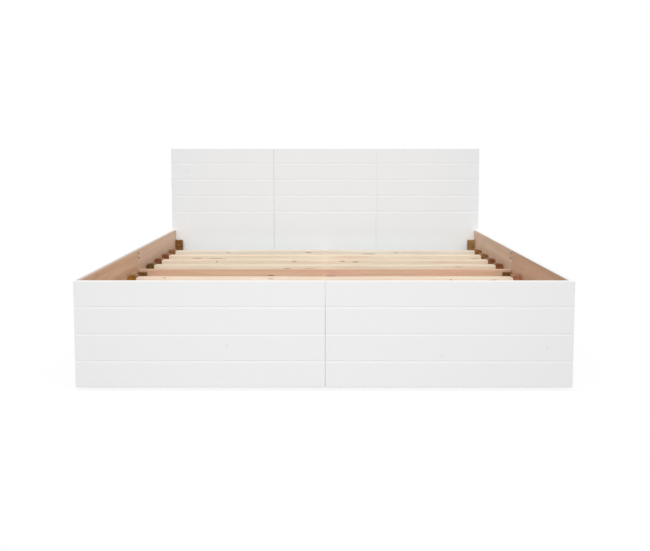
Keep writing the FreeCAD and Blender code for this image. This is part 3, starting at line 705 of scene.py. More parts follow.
# Dark marks on the slats: knots and wane streaks, and thin lines low on some slat fronts that are painted
# shadow between the slats.
SLAT_MARKS = (
    ((-0.549, 0.543, 0.2318), (0.03, 0.006, 0.0015)),
    ((-0.469, 0.543, 0.2318), (0.045, 0.006, 0.0015)),
    ((-0.444, 0.339, 0.2375), (0.004, 0.006, 0.003)),
    ((-0.434, 0.747, 0.2371), (0.012, 0.006, 0.0014)),
    ((-0.572, -0.2635, 0.2405), (0.008, 0.012, 0.002)),
    ((-0.074, 0.747, 0.2385), (0.015, 0.006, 0.0022)),
    ((0.197, 0.747, 0.2323), (0.034, 0.006, 0.0016)),
    ((-0.126, 0.339, 0.2388), (0.011, 0.006, 0.0022)),
    ((0.073, 0.339, 0.2396), (0.011, 0.006, 0.0018)),
    ((0.126, 0.339, 0.2372), (0.016, 0.006, 0.0022)),
    ((-0.147, 0.135, 0.2311), (0.016, 0.006, 0.0024)),
    ((-0.062, 0.135, 0.2298), (0.026, 0.006, 0.0018)),
    ((-0.191, -0.273, 0.2378), (0.012, 0.006, 0.0016)),
    ((0.184, 0.135, 0.2268), (0.006, 0.006, 0.002)),
    ((0.319, 0.747, 0.2385), (0.008, 0.006, 0.0016)),
    ((0.527, 0.135, 0.238), (0.018, 0.006, 0.0014)),
    ((0.644, 0.543, 0.2297), (0.014, 0.006, 0.0018)),
    ((0.449, -0.273, 0.2351), (0.006, 0.006, 0.0014)),
    ((0.666, 0.339, 0.2277), (0.012, 0.006, 0.0018)),
    ((0.602, -0.273, 0.234), (0.012, 0.006, 0.0012)),
)
SLAT_PINE = Wood(
    name="slat_pine", grain=Grain.FLAT_CROSSWISE, own_boards=True, ring_gap=0.005, knot_share=0.42,
    fibre_share=0.26, streak_share=0.65, patch_share=0.8, roughness=0.7, marks=SLAT_MARKS, mark_share=0.78,
    **SLAT_TONES,
)
BATTEN_PINE = Wood(name="batten_pine", grain=Grain.CROSS_BOARD, seed=5.5, **PINE)
DRAWER_PINE_CROSS = Wood(
    name="drawer_pine_cross", grain=Grain.CROSS_BOARD, seed=6.1, knot_share=0.2, **PINE,
)
DRAWER_PINE_LONG = Wood(name="drawer_pine_long", grain=Grain.RAIL, seed=8.3, knot_share=0.2, **PINE)
DRAWER_BATTEN_PINE = Wood(name="drawer_batten_pine", grain=Grain.FLAT_LENGTHWISE, seed=8.9, **PINE)
BIRCH_FACE = Wood(
    name="birch_face", grain=Grain.FLAT_CROSSWISE, seed=2.9, early=(0.76, 0.6, 0.42), late=(0.66, 0.49, 0.32),
    streak=(0.72, 0.54, 0.36), patch=(0.74, 0.56, 0.38), knot=(0.45, 0.3, 0.18), ring_gap=0.02,
    knot_share=0.12,
)
PLYWOOD = Plywood(face=BIRCH_FACE)
HOLDER_TINTS = (
    ((-0.687, -0.243, 0.243), (0.29, 0.135, 0.024)),
    ((-0.687, 0.165, 0.243), (0.145, 0.08, 0.018)),
    ((-0.687, 0.777, 0.243), (0.28, 0.135, 0.055)),
    ((0.687, -0.243, 0.243), (0.35, 0.15, 0.09)),
    ((0.687, 0.573, 0.243), (0.25, 0.115, 0.04)),
    ((0.687, 0.777, 0.243), (0.275, 0.125, 0.033)),
)
HOLDER_PLASTIC = MouldedPlastic(name="holder_plastic", tinted=HOLDER_TINTS)
HEAD_BLOCK_PLASTIC = MouldedPlastic(
    name="head_block_plastic", colour=(0.21, 0.092, 0.022), mottle=3.0,
    tinted=(((0.686, 0.982, 0.252), (0.31, 0.175, 0.065)),),
)
BLOCK_PLASTIC = MouldedPlastic(name="block_plastic", colour=(0.14, 0.06, 0.015))
GLIDE_PLASTIC = MouldedPlastic(name="glide_plastic", colour=(0.12, 0.07, 0.04))
WHEEL_PLASTIC = MouldedPlastic(
    name="wheel_plastic", colour=(0.05, 0.05, 0.052), roughness=0.5, specular=0.4,
)
ZINC = PlatedSteel()
BLOCK_SCREW = PlatedSteel(
    name="block_screw_steel", colour=(0.3, 0.22, 0.11), patch=(0.23, 0.17, 0.09), roughness=0.5,
)
DARK_SCREW = PlatedSteel(
    name="dark_screw_steel", colour=(0.09, 0.07, 0.05), patch=(0.06, 0.045, 0.035), roughness=0.5,
    metallic=0.0,
)


def add_object(name: str, data: bpy.types.ID) -> bpy.types.Object:
    """Add an object to the scene."""
    thing = bpy.data.objects.new(name, data)
    bpy.context.scene.collection.objects.link(thing)
    return thing


def point_mesh(name: str, places: Sequence[Sequence[float]]) -> bpy.types.Mesh:
    """Make a mesh of loose points, on which copies of a shape stand."""
    mesh = bpy.data.meshes.new(name)
    mesh.from_pydata([tuple(place) for place in places], [], [])
    return mesh


def store_vectors(mesh: bpy.types.Mesh, name: str, vectors: Sequence[Sequence[float]]) -> None:
    """Store one vector for each point of a mesh."""
    attribute = mesh.attributes.new(name, "FLOAT_VECTOR", "POINT")
    attribute.data.foreach_set("vector", np.array(vectors, np.float32).ravel())


class ShapeGraph(Graph):
    """A Geometry Nodes tree that makes one piece."""

    ROUND_STEPS = 2
    ROUND_REACH = math.radians(45)
    SHARP_ANGLE = math.radians(6)
    SMOOTH_SOCKET = 2
    RANDOM_SOCKETS = (2, 3)
    RANDOM_RESULT = 1

    def __init__(self, name: str) -> None:
        """Start a tree with a shape as its result."""
        super().__init__(bpy.data.node_groups.new(name, "GeometryNodeTree"))
        self.tree.interface.new_socket("Shape", in_out="OUTPUT", socket_type="NodeSocketGeometry")
        self.tree.interface.new_socket("Places", in_out="INPUT", socket_type="NodeSocketGeometry")
        self.entry = self.node("NodeGroupInput")
        self.sizes: dict[str, float] = {}

    def size(self, name: str, value: float) -> Wire:
        """Add a named size to the tree's inputs, with its value for this piece."""
        socket = self.tree.interface.new_socket(name, in_out="INPUT", socket_type="NodeSocketFloat")
        self.sizes[socket.identifier] = value
        return Wire(self, self.entry.outputs[name])

    def sizes_along(self, name: str, values: Sequence[float]) -> list[Wire]:
        """Add a named size for each of X, Y and Z."""
        return [self.size(f"{name} {letter}", value) for letter, value in zip("XYZ", values)]

    def places(self) -> Wire:
        """Give the points that the piece's copies stand on."""
        return Wire(self, self.entry.outputs["Places"])

    def rows(self, position: Wire, count: int, half: Wire, rounding: Wire) -> tuple[Wire, Wire, Wire]:
        """Spread the rows of a unit block along one axis, close together at its rounded ends.

        Args:
            position: The vertex's place in the unit block, from -0.5 to 0.5.
            count: Number of steps between its rows.
            half: Half of the finished size.
            rounding: Radius of the rounded arris.

        Returns:
            The row's number, its place inside the rounding, and its reach into the rounding.
        """
        row = ((position + 0.5) * float(count)).math("ROUND")
        steps = float(self.ROUND_STEPS)
        low = ((steps - row) / steps).clamp()
        high = ((row - (count - steps)) / steps).clamp()
        share = ((row - steps) / (count - 2.0 * steps)).clamp()
        inner = (half - rounding) * (share * 2.0 - 1.0)
        reach = (high * self.ROUND_REACH).math("TANGENT") - (low * self.ROUND_REACH).math("TANGENT")
        return row, inner, reach

    def spread(
        self, counts: Sequence[int], half: Sequence[Wire], rounding: Wire,
    ) -> tuple[list[tuple[Wire, Wire, Wire]], Wire]:
        """Give the rows of a unit block on all axes, and the way that its rounding reaches out."""
        axes = zip(self.parts(self.place()), counts, half)
        rows = [self.rows(position, count, size, rounding) for position, count, size in axes]
        return rows, self.vector_math("NORMALIZE", self.join(*(row[2] for row in rows)))

    def block(self, counts: Sequence[int]) -> Wire:
        """Make a unit block with that many steps between rows on each axis."""
        inputs = {"Size": (1.0, 1.0, 1.0)}
        for letter, count in zip("XYZ", counts):
            inputs[f"Vertices {letter}"] = count + 1
        return self.wire("GeometryNodeMeshCube", None, inputs)

    def bar(self, x: Operand, y: Operand, z: Operand) -> Wire:
        """Make a plain block of a size."""
        return self.wire("GeometryNodeMeshCube", None, {"Size": self.join(x, y, z)})

    def cone(self, corners: int, top: Operand, bottom: Operand, depth: Operand) -> Wire:
        """Make a blunt cone."""
        inputs = {"Vertices": corners, "Radius Top": top, "Radius Bottom": bottom, "Depth": depth}
        return self.wire("GeometryNodeMeshCone", None, inputs)

    def place(self) -> Wire:
        """Give each vertex's own place."""
        return self.wire("GeometryNodeInputPosition")

    def moved(self, shape: Wire, position: Wire) -> Wire:
        """Set the place of each vertex."""
        return self.wire("GeometryNodeSetPosition", None, {"Geometry": shape, "Position": position})

    def transformed(self, shape: Wire, **inputs: Wire) -> Wire:
        """Move or stretch a shape."""
        sockets = {name.capitalize(): value for name, value in inputs.items()}
        return self.wire("GeometryNodeTransform", None, {"Geometry": shape, **sockets})

    def copies(self, shape: Wire, points: Wire, **inputs: Wire) -> Wire:
        """Place copies of a shape on points."""
        sockets = {"Points": points, "Instance": shape}
        sockets.update({name.capitalize(): value for name, value in inputs.items()})
        return self.wire("GeometryNodeInstanceOnPoints", None, sockets)

    def realized(self, shape: Wire) -> Wire:
        """Turn copies into plain mesh."""
        return self.wire("GeometryNodeRealizeInstances", None, {"Geometry": shape})

    def gathered(self, node: bpy.types.Node, socket: Union[int, str], *shapes: Wire) -> Wire:
        """Link several shapes to one socket of a node, and give its result."""
        for shape in shapes:
            self.tree.links.new(shape.socket, node.inputs[socket])
        return Wire(self, node.outputs[0])

    def stored(self, shape: Wire, domain: str, name: str, value: Wire) -> Wire:
        """Store a value on a shape under a name."""
        inputs = {"Geometry": shape, "Name": name, "Value": value}
        return self.wire("GeometryNodeStoreNamedAttribute", {"data_type": "FLOAT", "domain": domain}, inputs)

    def attribute(self, name: str, kind: str = "FLOAT") -> Wire:
        """Read a value that is stored under a name."""
        return self.wire("GeometryNodeInputNamedAttribute", {"data_type": kind}, {"Name": name})

    def random(self, seed: int, high: float = 1.0) -> Wire:
        """Draw a number between 0 and an upper limit for each copy."""
        inputs = {"Seed": seed, **dict(zip(self.RANDOM_SOCKETS, (0.0, high)))}
        return self.wire("FunctionNodeRandomValue", {"data_type": "FLOAT"}, inputs, self.RANDOM_RESULT)

    def turn(self, x: Operand, y: Operand, z: Operand) -> Wire:
        """Turn about X, Y and Z."""
        return self.wire("FunctionNodeEulerToRotation", None, {0: self.join(x, y, z)})

    def shaded(self, shape: Wire) -> Wire:
        """Shade a shape smooth, with sharp creases."""
        inputs = {"Geometry": shape, self.SMOOTH_SOCKET: True}
        smooth = self.wire("GeometryNodeSetShadeSmooth", {"domain": "FACE"}, inputs)
        crease = self.wire("GeometryNodeInputMeshEdgeAngle") > self.SHARP_ANGLE
        inputs = {"Geometry": smooth, "Selection": crease, self.SMOOTH_SOCKET: False}
        return self.wire("GeometryNodeSetShadeSmooth", {"domain": "EDGE"}, inputs)

    def piece(
        self, name: str, shape: Wire, finish: Finish, base: Optional[bpy.types.Mesh] = None,
    ) -> bpy.types.Object:
        """Close the tree, run it once and keep the result as a plain mesh.

        Args:
            name: Name of the piece.
            shape: What the tree has made.
            finish: Finish of the piece.
            base: Mesh whose points the tree reads, if any.

        Returns:
            The piece, with no modifier left on it.
        """
        inputs = {"Geometry": self.realized(shape), "Material": finish.material()}
        self.node("NodeGroupOutput", None, {0: self.wire("GeometryNodeSetMaterial", None, inputs)})
        piece = add_object(name, base or bpy.data.meshes.new(name))
        modifier = piece.modifiers.new("shape", "NODES")
        modifier.node_group = self.tree
        for identifier, value in self.sizes.items():
            modifier[identifier] = value
        depsgraph = bpy.context.evaluated_depsgraph_get()
        evaluated = piece.evaluated_get(depsgraph)
        mesh = bpy.data.meshes.new_from_object(evaluated, preserve_all_data_layers=True, depsgraph=depsgraph)
        piece.modifiers.remove(modifier)
        piece.data = mesh
        mesh.name = name
        return piece


def dress(finish: Finish, *nodes: str) -> None:
    """Give CAD nodes their finish."""
    for node in nodes:
        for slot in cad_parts[node].material_slots:
            slot.material = finish.material()
        LOG.info("dressed %s in %s", node, finish.name)


def settle(piece: bpy.types.Object, body: str, slot: str, *nodes: str) -> None:
    """Hang a finished piece on its body in place of CAD nodes.

    Args:
        piece: The finished piece.
        body: Body that it moves with.
        slot: Name of the piece's material slot; not used.
        nodes: CAD nodes that it stands for.
    """
    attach(piece, body)
    if nodes:
        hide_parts(*nodes)
    LOG.info("built %s with %d faces", piece.name, len(piece.data.polygons))


@dataclass
class GroovedPanel:
    """A white board with level V-grooves across its foot-end face."""

    name: str
    node: str
    body: str
    finish: Finish
    first_plank: float
    plank: float
    grooves: int
    groove_width: float = 0.007
    groove_depth: float = 0.0004
    arris: float = 0.0008
    left_shift: float = 0.0
    right_shift: float = 0.0

    ROWS_PER_GROOVE = 5

    def build(self) -> None:
        """Build the panel over its CAD node and hang it on its body."""
        low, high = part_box(self.node)
        low = low + Vector((self.left_shift, 0.0, 0.0))
        high = high + Vector((self.right_shift, 0.0, 0.0))
        graph = ShapeGraph(self.name + "_shape")
        half = graph.sizes_along("Half", (high - low) / 2)
        centre = graph.sizes_along("Middle", (high + low) / 2)
        rounding = graph.size("Arris", self.arris)
        first = graph.size("First plank", self.first_plank)
        plank = graph.size("Plank", self.plank)
        wide = graph.size("Groove width", self.groove_width)
        deep = graph.size("Groove depth", self.groove_depth)
        ends = 2 * graph.ROUND_STEPS
        counts = (ends + 1, ends + 1, ends + self.grooves * self.ROWS_PER_GROOVE + 1)
        (rows_x, rows_y, rows_z), reach = graph.spread(counts, half, rounding)
        reach_x, reach_y, reach_z = graph.parts(reach)
        row = rows_z[0] - float(graph.ROUND_STEPS)
        last = float(self.grooves * self.ROWS_PER_GROOVE + 1)
        lowest = row < 0.5
        highest = row > last - 0.5
        groove = ((row - 1.0) / float(self.ROWS_PER_GROOVE)).math("FLOOR")
        step = (row - 1.0) - groove * float(self.ROWS_PER_GROOVE)
        sideways = step / ((self.ROWS_PER_GROOVE - 1) / 2) - 1.0
        groove_z = half[2] - first - plank * ((self.grooves - 1.0) - groove) + sideways * wide * 0.5
        between = 1.0 - lowest - highest
        inner_z = (half[2] - rounding) * (highest - lowest) + groove_z * between
        depth = deep * (1.0 - abs(sideways)) * between
        y = rows_y[1] + reach_y * rounding
        share = (y + half[1]) / (half[1] * 2.0)
        y = y + depth * (1.0 - share)
        x = rows_x[1] + reach_x * rounding + centre[0]
        z = inner_z + reach_z * rounding + centre[2]
        shape = graph.moved(graph.block(counts), graph.join(x, y + centre[1], z))
        piece = graph.piece(self.name, graph.shaded(shape), self.finish)
        settle(piece, self.body, "white_panel", self.node)


@dataclass
class ScrewSet:
    """Countersunk cross-head screws, some under domed caps, one at each place that the CAD gives them."""

    name: str
    node: str
    body: str
    finish: Finish
    slot: str = "zinc_steel"
    head_radius: float = 0.0039
    shank_radius: float = 0.0019
    countersink: float = 0.0024
    shank: float = 0.016
    cross_length: float = 0.0046
    cross_width: float = 0.0010
    cross_depth: float = 0.0014
    cap_radius: float = 0.0048
    cap_height: float = 0.0
    seed: int = 11

    MERGE_DIGITS = 5
    RIM_DEPTH = 0.0001
    HEAD_CORNERS = 24
    SHANK_CORNERS = 12
    SHANK_TAPER = (0.9, 0.35)
    CAP_STEPS = {"Segments": 20, "Rings": 12}

    def spots(self) -> list[tuple[np.ndarray, np.ndarray]]:
        """Find each screw of the CAD node.

        Returns:
            The middle of each head and the way that it faces.
        """
        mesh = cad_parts[self.node].data
        points = np.zeros(len(mesh.vertices) * 3)
        mesh.vertices.foreach_get("co", points)
        points = points.reshape(-1, 3).round(self.MERGE_DIGITS)
        keys, index = np.unique(points, axis=0, return_inverse=True)
        edges = np.zeros(len(mesh.edges) * 2, np.int32)
        mesh.edges.foreach_get("vertices", edges)
        first, second = index.ravel()[edges.reshape(-1, 2)].T
        roots = np.arange(len(keys))
        while (roots[first] != roots[second]).any():
            lowest = np.minimum(roots[first], roots[second])
            np.minimum.at(roots, first, lowest)
            np.minimum.at(roots, second, lowest)
        found = []
        for island in np.unique(roots):
            screw = keys[roots == island]
            low, high = screw.min(0), screw.max(0)
            axis = int(np.argmax(high - low))
            ends = {}
            for sign, level in ((-1.0, low[axis]), (1.0, high[axis])):
                rim = screw[abs(screw[:, axis] - level) < self.RIM_DEPTH]
                ends[sign] = float(np.ptp(rim, axis=0).sum())
            sign = max(ends, key=ends.get)
            head = (low + high) / 2
            head[axis] = high[axis] if sign > 0 else low[axis]
            facing = np.zeros(3)
            facing[axis] = sign
            found.append((head, facing))
        return found

    def build(self) -> None:
        """Build all screws as one piece and hang it on its body."""
        heads, ways = zip(*self.spots())
        base = point_mesh(self.name + "_places", heads)
        store_vectors(base, "facing", ways)
        graph = ShapeGraph(self.name + "_shape")
        head_radius = graph.size("Head radius", self.head_radius)
        shank_radius = graph.size("Shank radius", self.shank_radius)
        countersink = graph.size("Countersink", self.countersink)
        shank = graph.size("Shank", self.shank)
        long = graph.size("Cross length", self.cross_length)
        wide = graph.size("Cross width", self.cross_width)
        deep = graph.size("Cross depth", self.cross_depth)
        head = graph.cone(self.HEAD_CORNERS, head_radius, shank_radius, countersink)
        head = graph.transformed(head, translation=graph.join(0.0, 0.0, 0.0 - countersink))
        bars = [graph.bar(*size, deep * 2.0) for size in ((long, wide), (wide, long))]
        both = graph.node("GeometryNodeMeshBoolean", {"operation": "UNION"})
        cut = graph.node("GeometryNodeMeshBoolean", {"operation": "DIFFERENCE"}, {"Mesh 1": head})
        head = graph.gathered(cut, "Mesh 2", graph.gathered(both, "Mesh 2", *bars))
        pin = graph.cone(self.SHANK_CORNERS, *(shank_radius * share for share in self.SHANK_TAPER), shank)
        pin = graph.transformed(pin, translation=graph.join(0.0, 0.0, 0.0 - countersink - shank))
        pieces = [head, pin]
        if self.cap_height:
            radius = graph.size("Cap radius", self.cap_radius)
            ball = graph.wire("GeometryNodeMeshUVSphere", None, {**self.CAP_STEPS, "Radius": radius})
            flat = graph.join(1.0, 1.0, graph.size("Cap flatness", self.cap_height / self.cap_radius))
            pieces.append(graph.transformed(ball, scale=flat))
        screw = graph.gathered(graph.node("GeometryNodeJoinGeometry"), 0, *pieces)
        way = graph.attribute("facing", "FLOAT_VECTOR")
        aim = graph.wire("FunctionNodeAlignRotationToVector", {"axis": "Z"}, {"Vector": way})
        spin = graph.turn(0.0, 0.0, graph.random(self.seed, math.pi))
        spun = graph.wire("FunctionNodeRotateRotation", {"rotation_space": "LOCAL"}, {0: aim, 1: spin})
        screws = graph.copies(screw, graph.places(), rotation=spun)
        piece = graph.piece(self.name, graph.shaded(screws), self.finish, base)
        settle(piece, self.body, self.slot, self.node)


@dataclass
class Slats:
    """The row of pine slats, each a little bowed and waney, and one of them thinner than the rest."""

    bows: tuple[float, ...] = (0.0006, -0.0012, 0.0004, -0.0006, -0.0004, 0.001, 0.0004, 0.0026)
    thinner: tuple[float, ...] = (0.0, 0.0, 0.0, 0.0022, 0.0, 0.0, 0.0, 0.0)
    tints: tuple[Colour, ...] = (
        (1.0, 1.0, 1.0), (0.96, 0.95, 0.95), (1.0, 0.99, 0.97), (0.965, 1.0, 1.06),
        (0.94, 0.955, 0.95), (0.965, 0.945, 0.945), (1.0, 1.0, 1.0), (0.95, 1.0, 1.08),
    )
    arris: float = 0.0012
    wane: float = 0.0014
    steps: tuple[int, int, int] = (56, 4, 2)
    seed: int = 5

    RIPPLE_SCALE = (9.0, 14.0, 30.0)
    RIPPLE_DETAIL = 3.0
    RIPPLE_SPREAD = 40.0
    HELD_END = 6.0
    NICK_LIFT = 0.4

    def build(self) -> None:
        """Build all slats as one piece."""
        nodes = [f"slat_{number}" for number in range(1, len(self.bows) + 1)]
        base = point_mesh("slat_places", [sum(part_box(node), Vector()) / 2 for node in nodes])
        for name, values in (("bow", self.bows), ("thinner", self.thinner)):
            base.attributes.new(name, "FLOAT", "POINT").data.foreach_set("value", values)
        store_vectors(base, "tint", self.tints)
        low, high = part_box(nodes[0])
        graph = ShapeGraph("slats_shape")
        half = graph.sizes_along("Half", (high - low) / 2)
        rounding = graph.size("Arris", self.arris)
        wane = graph.size("Wane", self.wane)
        underside = graph.size("Underside", low.z)
        counts = [2 * graph.ROUND_STEPS + count for count in self.steps]
        rows, reach = graph.spread(counts, half, rounding)
        inner = graph.join(*(row[1] for row in rows))
        reach = graph.vector_math("MULTIPLY", reach, graph.join(rounding, rounding, rounding))
        # Store which faces are the boards' sides, where painted light goes.
        sided = graph.stored(graph.block(counts), "POINT", "painted_light_sides", abs(rows[1][2]))
        board = graph.moved(sided, graph.vector_math("ADD", inner, reach))
        boards = graph.copies(graph.shaded(board), graph.places())
        named = graph.stored(boards, "INSTANCE", "board", graph.random(self.seed))
        own, bow, thinner = (graph.attribute(name) for name in ("board", "bow", "thinner"))
        x, y, z = graph.parts(graph.place())
        share = x / half[0]
        free = (1.0 - share * share).clamp()
        lift = bow * free - thinner * (z - underside) / (half[2] * 2.0)
        along, across, up = self.RIPPLE_SCALE
        rippled = graph.join(x * along, own * self.RIPPLE_SPREAD + y * across, z * up)
        ripple = graph.noise(rippled, 1.0, self.RIPPLE_DETAIL) - 0.5
        nick = ripple * wane * (free * self.HELD_END).clamp() * 2.0
        bent = graph.moved(graph.realized(named), graph.join(x, y + nick, z + lift + nick * self.NICK_LIFT))
        piece = graph.piece("slats", bent, SLAT_PINE, base)
        settle(piece, "frame", "slat_pine", *nodes)


@dataclass
class SlattedBase:
    """Slats, their end holders and the boards that carry them."""

    def build(self) -> None:
        """Build the slats and dress the rest."""
        Slats().build()
        dress(HOLDER_PLASTIC, *(f"slat_holders_{side}" for side in SIDES))
        dress(CROSS_WOOD, "mid_cross_panel", "foot_cross_rail")
        dress(LONG_WOOD, "centre_partition", "centre_beam")
        dress(POST_WOOD, "centre_leg")
        dress(GLIDE_PLASTIC, "floor_glides")


@dataclass
class SideRails:
    """The two boards of each side rail and the screws of their joint."""

    screw_length: float = 0.012
    cap_height: float = 0.0026

    def build(self) -> None:
        """Dress the boards and build their screws."""
        for (side, end), board in RAIL_BOARD.items():
            dress(board, f"side_rail_{side}_{end}")
        ScrewSet(
            "rail_joint_screw_heads", "rail_joint_screws", "frame", DARK_SCREW, slot="joint_steel",
            shank=self.screw_length, cap_height=self.cap_height,
        ).build()


@dataclass
class CornerBlocks:
    """Moulded blocks that tie the boards together, with their screws."""

    screw_length: float = 0.038

    def build(self) -> None:
        """Dress the blocks and build their screws."""
        for side in SIDES:
            dress(HEAD_BLOCK_PLASTIC, f"corner_blocks_head_{side}")
            dress(BLOCK_PLASTIC, f"corner_block_mid_{side}", f"corner_block_foot_{side}")
        dress(BLOCK_PLASTIC, "corner_blocks_centre")
        ScrewSet(
            "corner_block_screw_heads", "corner_block_screws", "frame", BLOCK_SCREW, shank=self.screw_length,
        ).build()


@dataclass
class Headboard:
    """Three grooved panels with battens behind."""

    first_plank: float = 0.069
    plank: float = 0.075
    grooves: int = 4
    groove_depth: float = 0.00055
    right_closer: float = 0.0004
    screw_length: float = 0.025

    def build(self) -> None:
        """Build the panels, the right one closer to the middle one, and dress the battens."""
        for side in ("left", "centre", "right"):
            GroovedPanel(
                f"headboard_board_{side}", f"headboard_panel_{side}", "frame", HEAD_FACED,
                self.first_plank, self.plank, self.grooves, groove_depth=self.groove_depth,
                left_shift=-self.right_closer if side == "right" else 0.0,
            ).build()
        dress(BATTEN_PINE, "headboard_batten_low", "headboard_batten_high")
        ScrewSet(
            "headboard_batten_screw_heads", "headboard_batten_screws", "frame", ZINC, shank=self.screw_length,
        ).build()


@dataclass
class CastorRibs:
    """Radial ribs in the dished sides of a drawer's castor wheels."""

    name: str
    node: str
    body: str
    ribs: int = 6
    hub: float = 0.0085
    rim: float = 0.0145
    thickness: float = 0.0016
    width: float = 0.0146

    WHEEL_WIDTH_SHARE = 0.4

    def build(self) -> None:
        """Build the ribs of the two wheels on one axle line."""
        low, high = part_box(self.node)
        middle = (low + high) / 2
        inset = (high.z - low.z) * self.WHEEL_WIDTH_SHARE / 2
        places = [(x, middle.y, middle.z) for x in (low.x + inset, high.x - inset)]
        base = point_mesh(self.name + "_places", places)
        graph = ShapeGraph(self.name + "_shape")
        hub = graph.size("Hub", self.hub)
        rim = graph.size("Rim", self.rim)
        thickness = graph.size("Thickness", self.thickness)
        width = graph.size("Width", self.width)
        rib = graph.bar(width, rim - hub, thickness)
        angle = graph.wire("GeometryNodeInputIndex") * (math.tau / self.ribs)
        reach = (hub + rim) * 0.5
        spot = graph.join(0.0, reach * angle.math("COSINE"), reach * angle.math("SINE"))
        points = graph.wire("GeometryNodePoints", None, {"Count": self.ribs, "Position": spot})
        star = graph.copies(rib, points, rotation=graph.turn(angle, 0.0, 0.0))
        piece = graph.piece(self.name, graph.copies(star, graph.places()), WHEEL_PLASTIC, base)
        settle(piece, self.body, "wheel_plastic")


@dataclass
class Drawer:
    """One drawer: grooved front, pine box, plywood bottom and four castors."""

    side: str
    plank: float = 0.079
    grooves: int = 3
    arris: float = 0.0012
    seam_shift: float = 0.0034
    screw_length: float = 0.013

    def build(self) -> None:
        """Build the drawer's pieces and dress its CAD nodes."""
        body = f"drawer_{self.side}"
        low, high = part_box(f"{body}_front")
        first_plank = (high.z - low.z - (self.grooves - 1) * self.plank) / 2
        seam_side = "right_shift" if self.side == "left" else "left_shift"
        GroovedPanel(
            f"{body}_front_board", f"{body}_front", body, FRONT_FACED, first_plank, self.plank, self.grooves,
            arris=self.arris, **{seam_side: self.seam_shift},
        ).build()
        dress(DRAWER_PINE_CROSS, f"{body}_box_front", f"{body}_back")
        dress(DRAWER_PINE_LONG, f"{body}_side_inner", f"{body}_side_outer")
        dress(PLYWOOD, f"{body}_bottom")
        dress(DRAWER_BATTEN_PINE, f"{body}_bottom_batten")
        dress(ZINC, f"{body}_castor_brackets", f"{body}_castor_axles")
        ScrewSet(f"{body}_screw_heads", f"{body}_screws", body, ZINC, shank=self.screw_length).build()
        for end in ENDS:
            wheels = f"{body}_wheels_{end}"
            dress(WHEEL_PLASTIC, wheels)
            CastorRibs(f"{wheels}_ribs", wheels, f"{body}_{end}_castor_wheels").build()


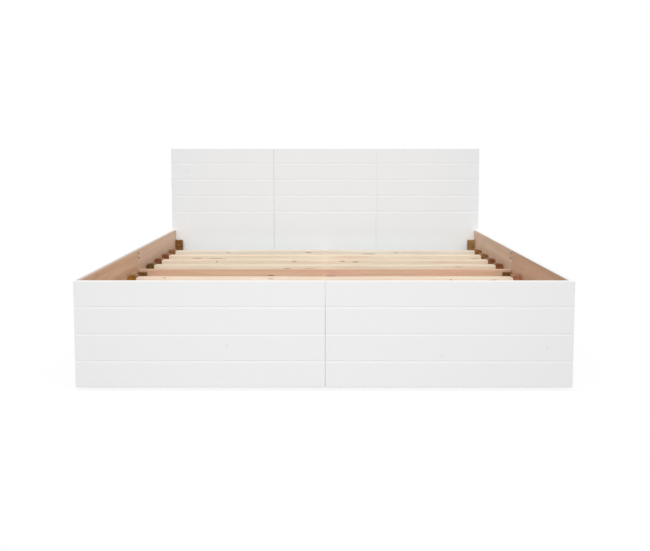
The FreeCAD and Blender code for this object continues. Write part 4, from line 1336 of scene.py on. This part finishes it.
@dataclass
class Studio:
    """Pale floor, soft lamps and a camera at the photograph's angle."""

    lens: float = 60.65
    sensor: float = 36.0
    camera_place: Place = (0.008, -4.150, 0.689)
    camera_pitch: float = 6.46
    camera_yaw: float = 0.0965
    floor_half: float = 14.0
    floor_level: float = -0.0003
    floor_colour: Colour = (0.95, 0.95, 0.95)
    floor_bounce: Colour = (0.25, 0.25, 0.25)
    white_share: float = 0.9
    sky: float = 0.71
    sun_strength: float = 1.45
    sun_spread: float = 70.0
    sun_place: Place = (0.0, 0.0, 4.0)
    sun_way: Place = (0.0, 0.643, -0.766)
    spot_place: Place = (-0.08, -9.0, 2.2)
    spot_aim: Place = (-0.08, -0.6, 0.35)
    spot_watts: float = 540.0
    spot_cone: float = 23.0
    spot_radius: float = 0.6

    def shown_white(self, graph: Graph) -> Wire:
        """Give 1 for the rays that show the backdrop, and 0 for those that light the bed."""
        path = graph.node("ShaderNodeLightPath")
        seen = [Wire(graph, path.outputs[f"Is {kind} Ray"]) for kind in ("Camera", "Glossy", "Transmission")]
        return (seen[0] + seen[1] + seen[2]).clamp()

    def build_floor(self) -> None:
        """Lay the floor, white to the eye and shaded by the bed."""
        reach = self.floor_half
        mesh = bpy.data.meshes.new("floor")
        corners = [(-reach, -reach), (reach, -reach), (reach, reach), (-reach, reach)]
        mesh.from_pydata([(x, y, self.floor_level) for x, y in corners], [], [(0, 1, 2, 3)])
        material = bpy.data.materials.new("studio_floor")
        material.use_nodes = True
        graph = Graph(material.node_tree)
        bounce = graph.wire("ShaderNodeBsdfDiffuse", None, {"Color": (*self.floor_bounce, 1.0)})
        pale = graph.wire("ShaderNodeBsdfDiffuse", None, {"Color": (*self.floor_colour, 1.0)})
        glow = graph.wire("ShaderNodeEmission", None, {"Color": WHITE_LIGHT, "Strength": 1.0})
        shown = graph.wire("ShaderNodeMixShader", None, {0: self.white_share, 1: pale, 2: glow})
        mixed = graph.wire("ShaderNodeMixShader", None, {0: self.shown_white(graph), 1: bounce, 2: shown})
        graph.node("ShaderNodeOutputMaterial", None, {"Surface": mixed})
        mesh.materials.append(material)
        add_object("floor", mesh)

    def build_sky(self) -> None:
        """Light the bed evenly from all round, with white behind it."""
        world = bpy.data.worlds.new("studio")
        world.use_nodes = True
        graph = Graph(world.node_tree)
        strength = self.sky + self.shown_white(graph) * (1.0 - self.sky)
        light = graph.wire("ShaderNodeBackground", None, {"Color": WHITE_LIGHT, "Strength": strength})
        graph.node("ShaderNodeOutputWorld", None, {"Surface": light})
        bpy.context.scene.world = world

    def hang(self, light: bpy.types.Light, place: Place, way: Vector) -> None:
        """Hang a lamp at a place, shining one way."""
        lamp = add_object(light.name, light)
        lamp.location = place
        lamp.rotation_euler = way.to_track_quat("-Z", "Y").to_euler()

    def build_lamps(self) -> None:
        """Hang a wide soft sun above the foot end and a soft spot lamp far in front of it."""
        sun = bpy.data.lights.new("high_lamp", "SUN")
        sun.energy = self.sun_strength
        sun.angle = math.radians(self.sun_spread)
        self.hang(sun, self.sun_place, Vector(self.sun_way))
        spot = bpy.data.lights.new("front_lamp", "SPOT")
        spot.energy = self.spot_watts
        spot.spot_size = math.radians(self.spot_cone)
        spot.spot_blend = 1.0
        spot.shadow_soft_size = self.spot_radius
        self.hang(spot, self.spot_place, Vector(self.spot_aim) - Vector(self.spot_place))

    def build_camera(self) -> None:
        """Set the camera where the photograph was taken from."""
        camera = bpy.data.cameras.new("camera")
        camera.lens = self.lens
        camera.sensor_width = self.sensor
        thing = add_object("camera", camera)
        thing.location = self.camera_place
        thing.rotation_euler = (math.radians(90.0 - self.camera_pitch), 0.0, math.radians(self.camera_yaw))
        bpy.context.scene.camera = thing

    def build(self) -> None:
        """Set up the whole studio."""
        bpy.context.scene.view_settings.view_transform = "Standard"
        self.build_floor()
        self.build_sky()
        self.build_lamps()
        self.build_camera()
        LOG.info("set up the studio")


def main() -> None:
    """Build the bed's pieces, dress its CAD nodes and set up the studio."""
    logging.basicConfig(level=logging.INFO, format="%(name)s: %(message)s")
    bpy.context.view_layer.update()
    Headboard().build()
    SideRails().build()
    SlattedBase().build()
    CornerBlocks().build()
    for side in SIDES:
        Drawer(side).build()
    Studio().build()


if __name__ == "__main__":
    main()
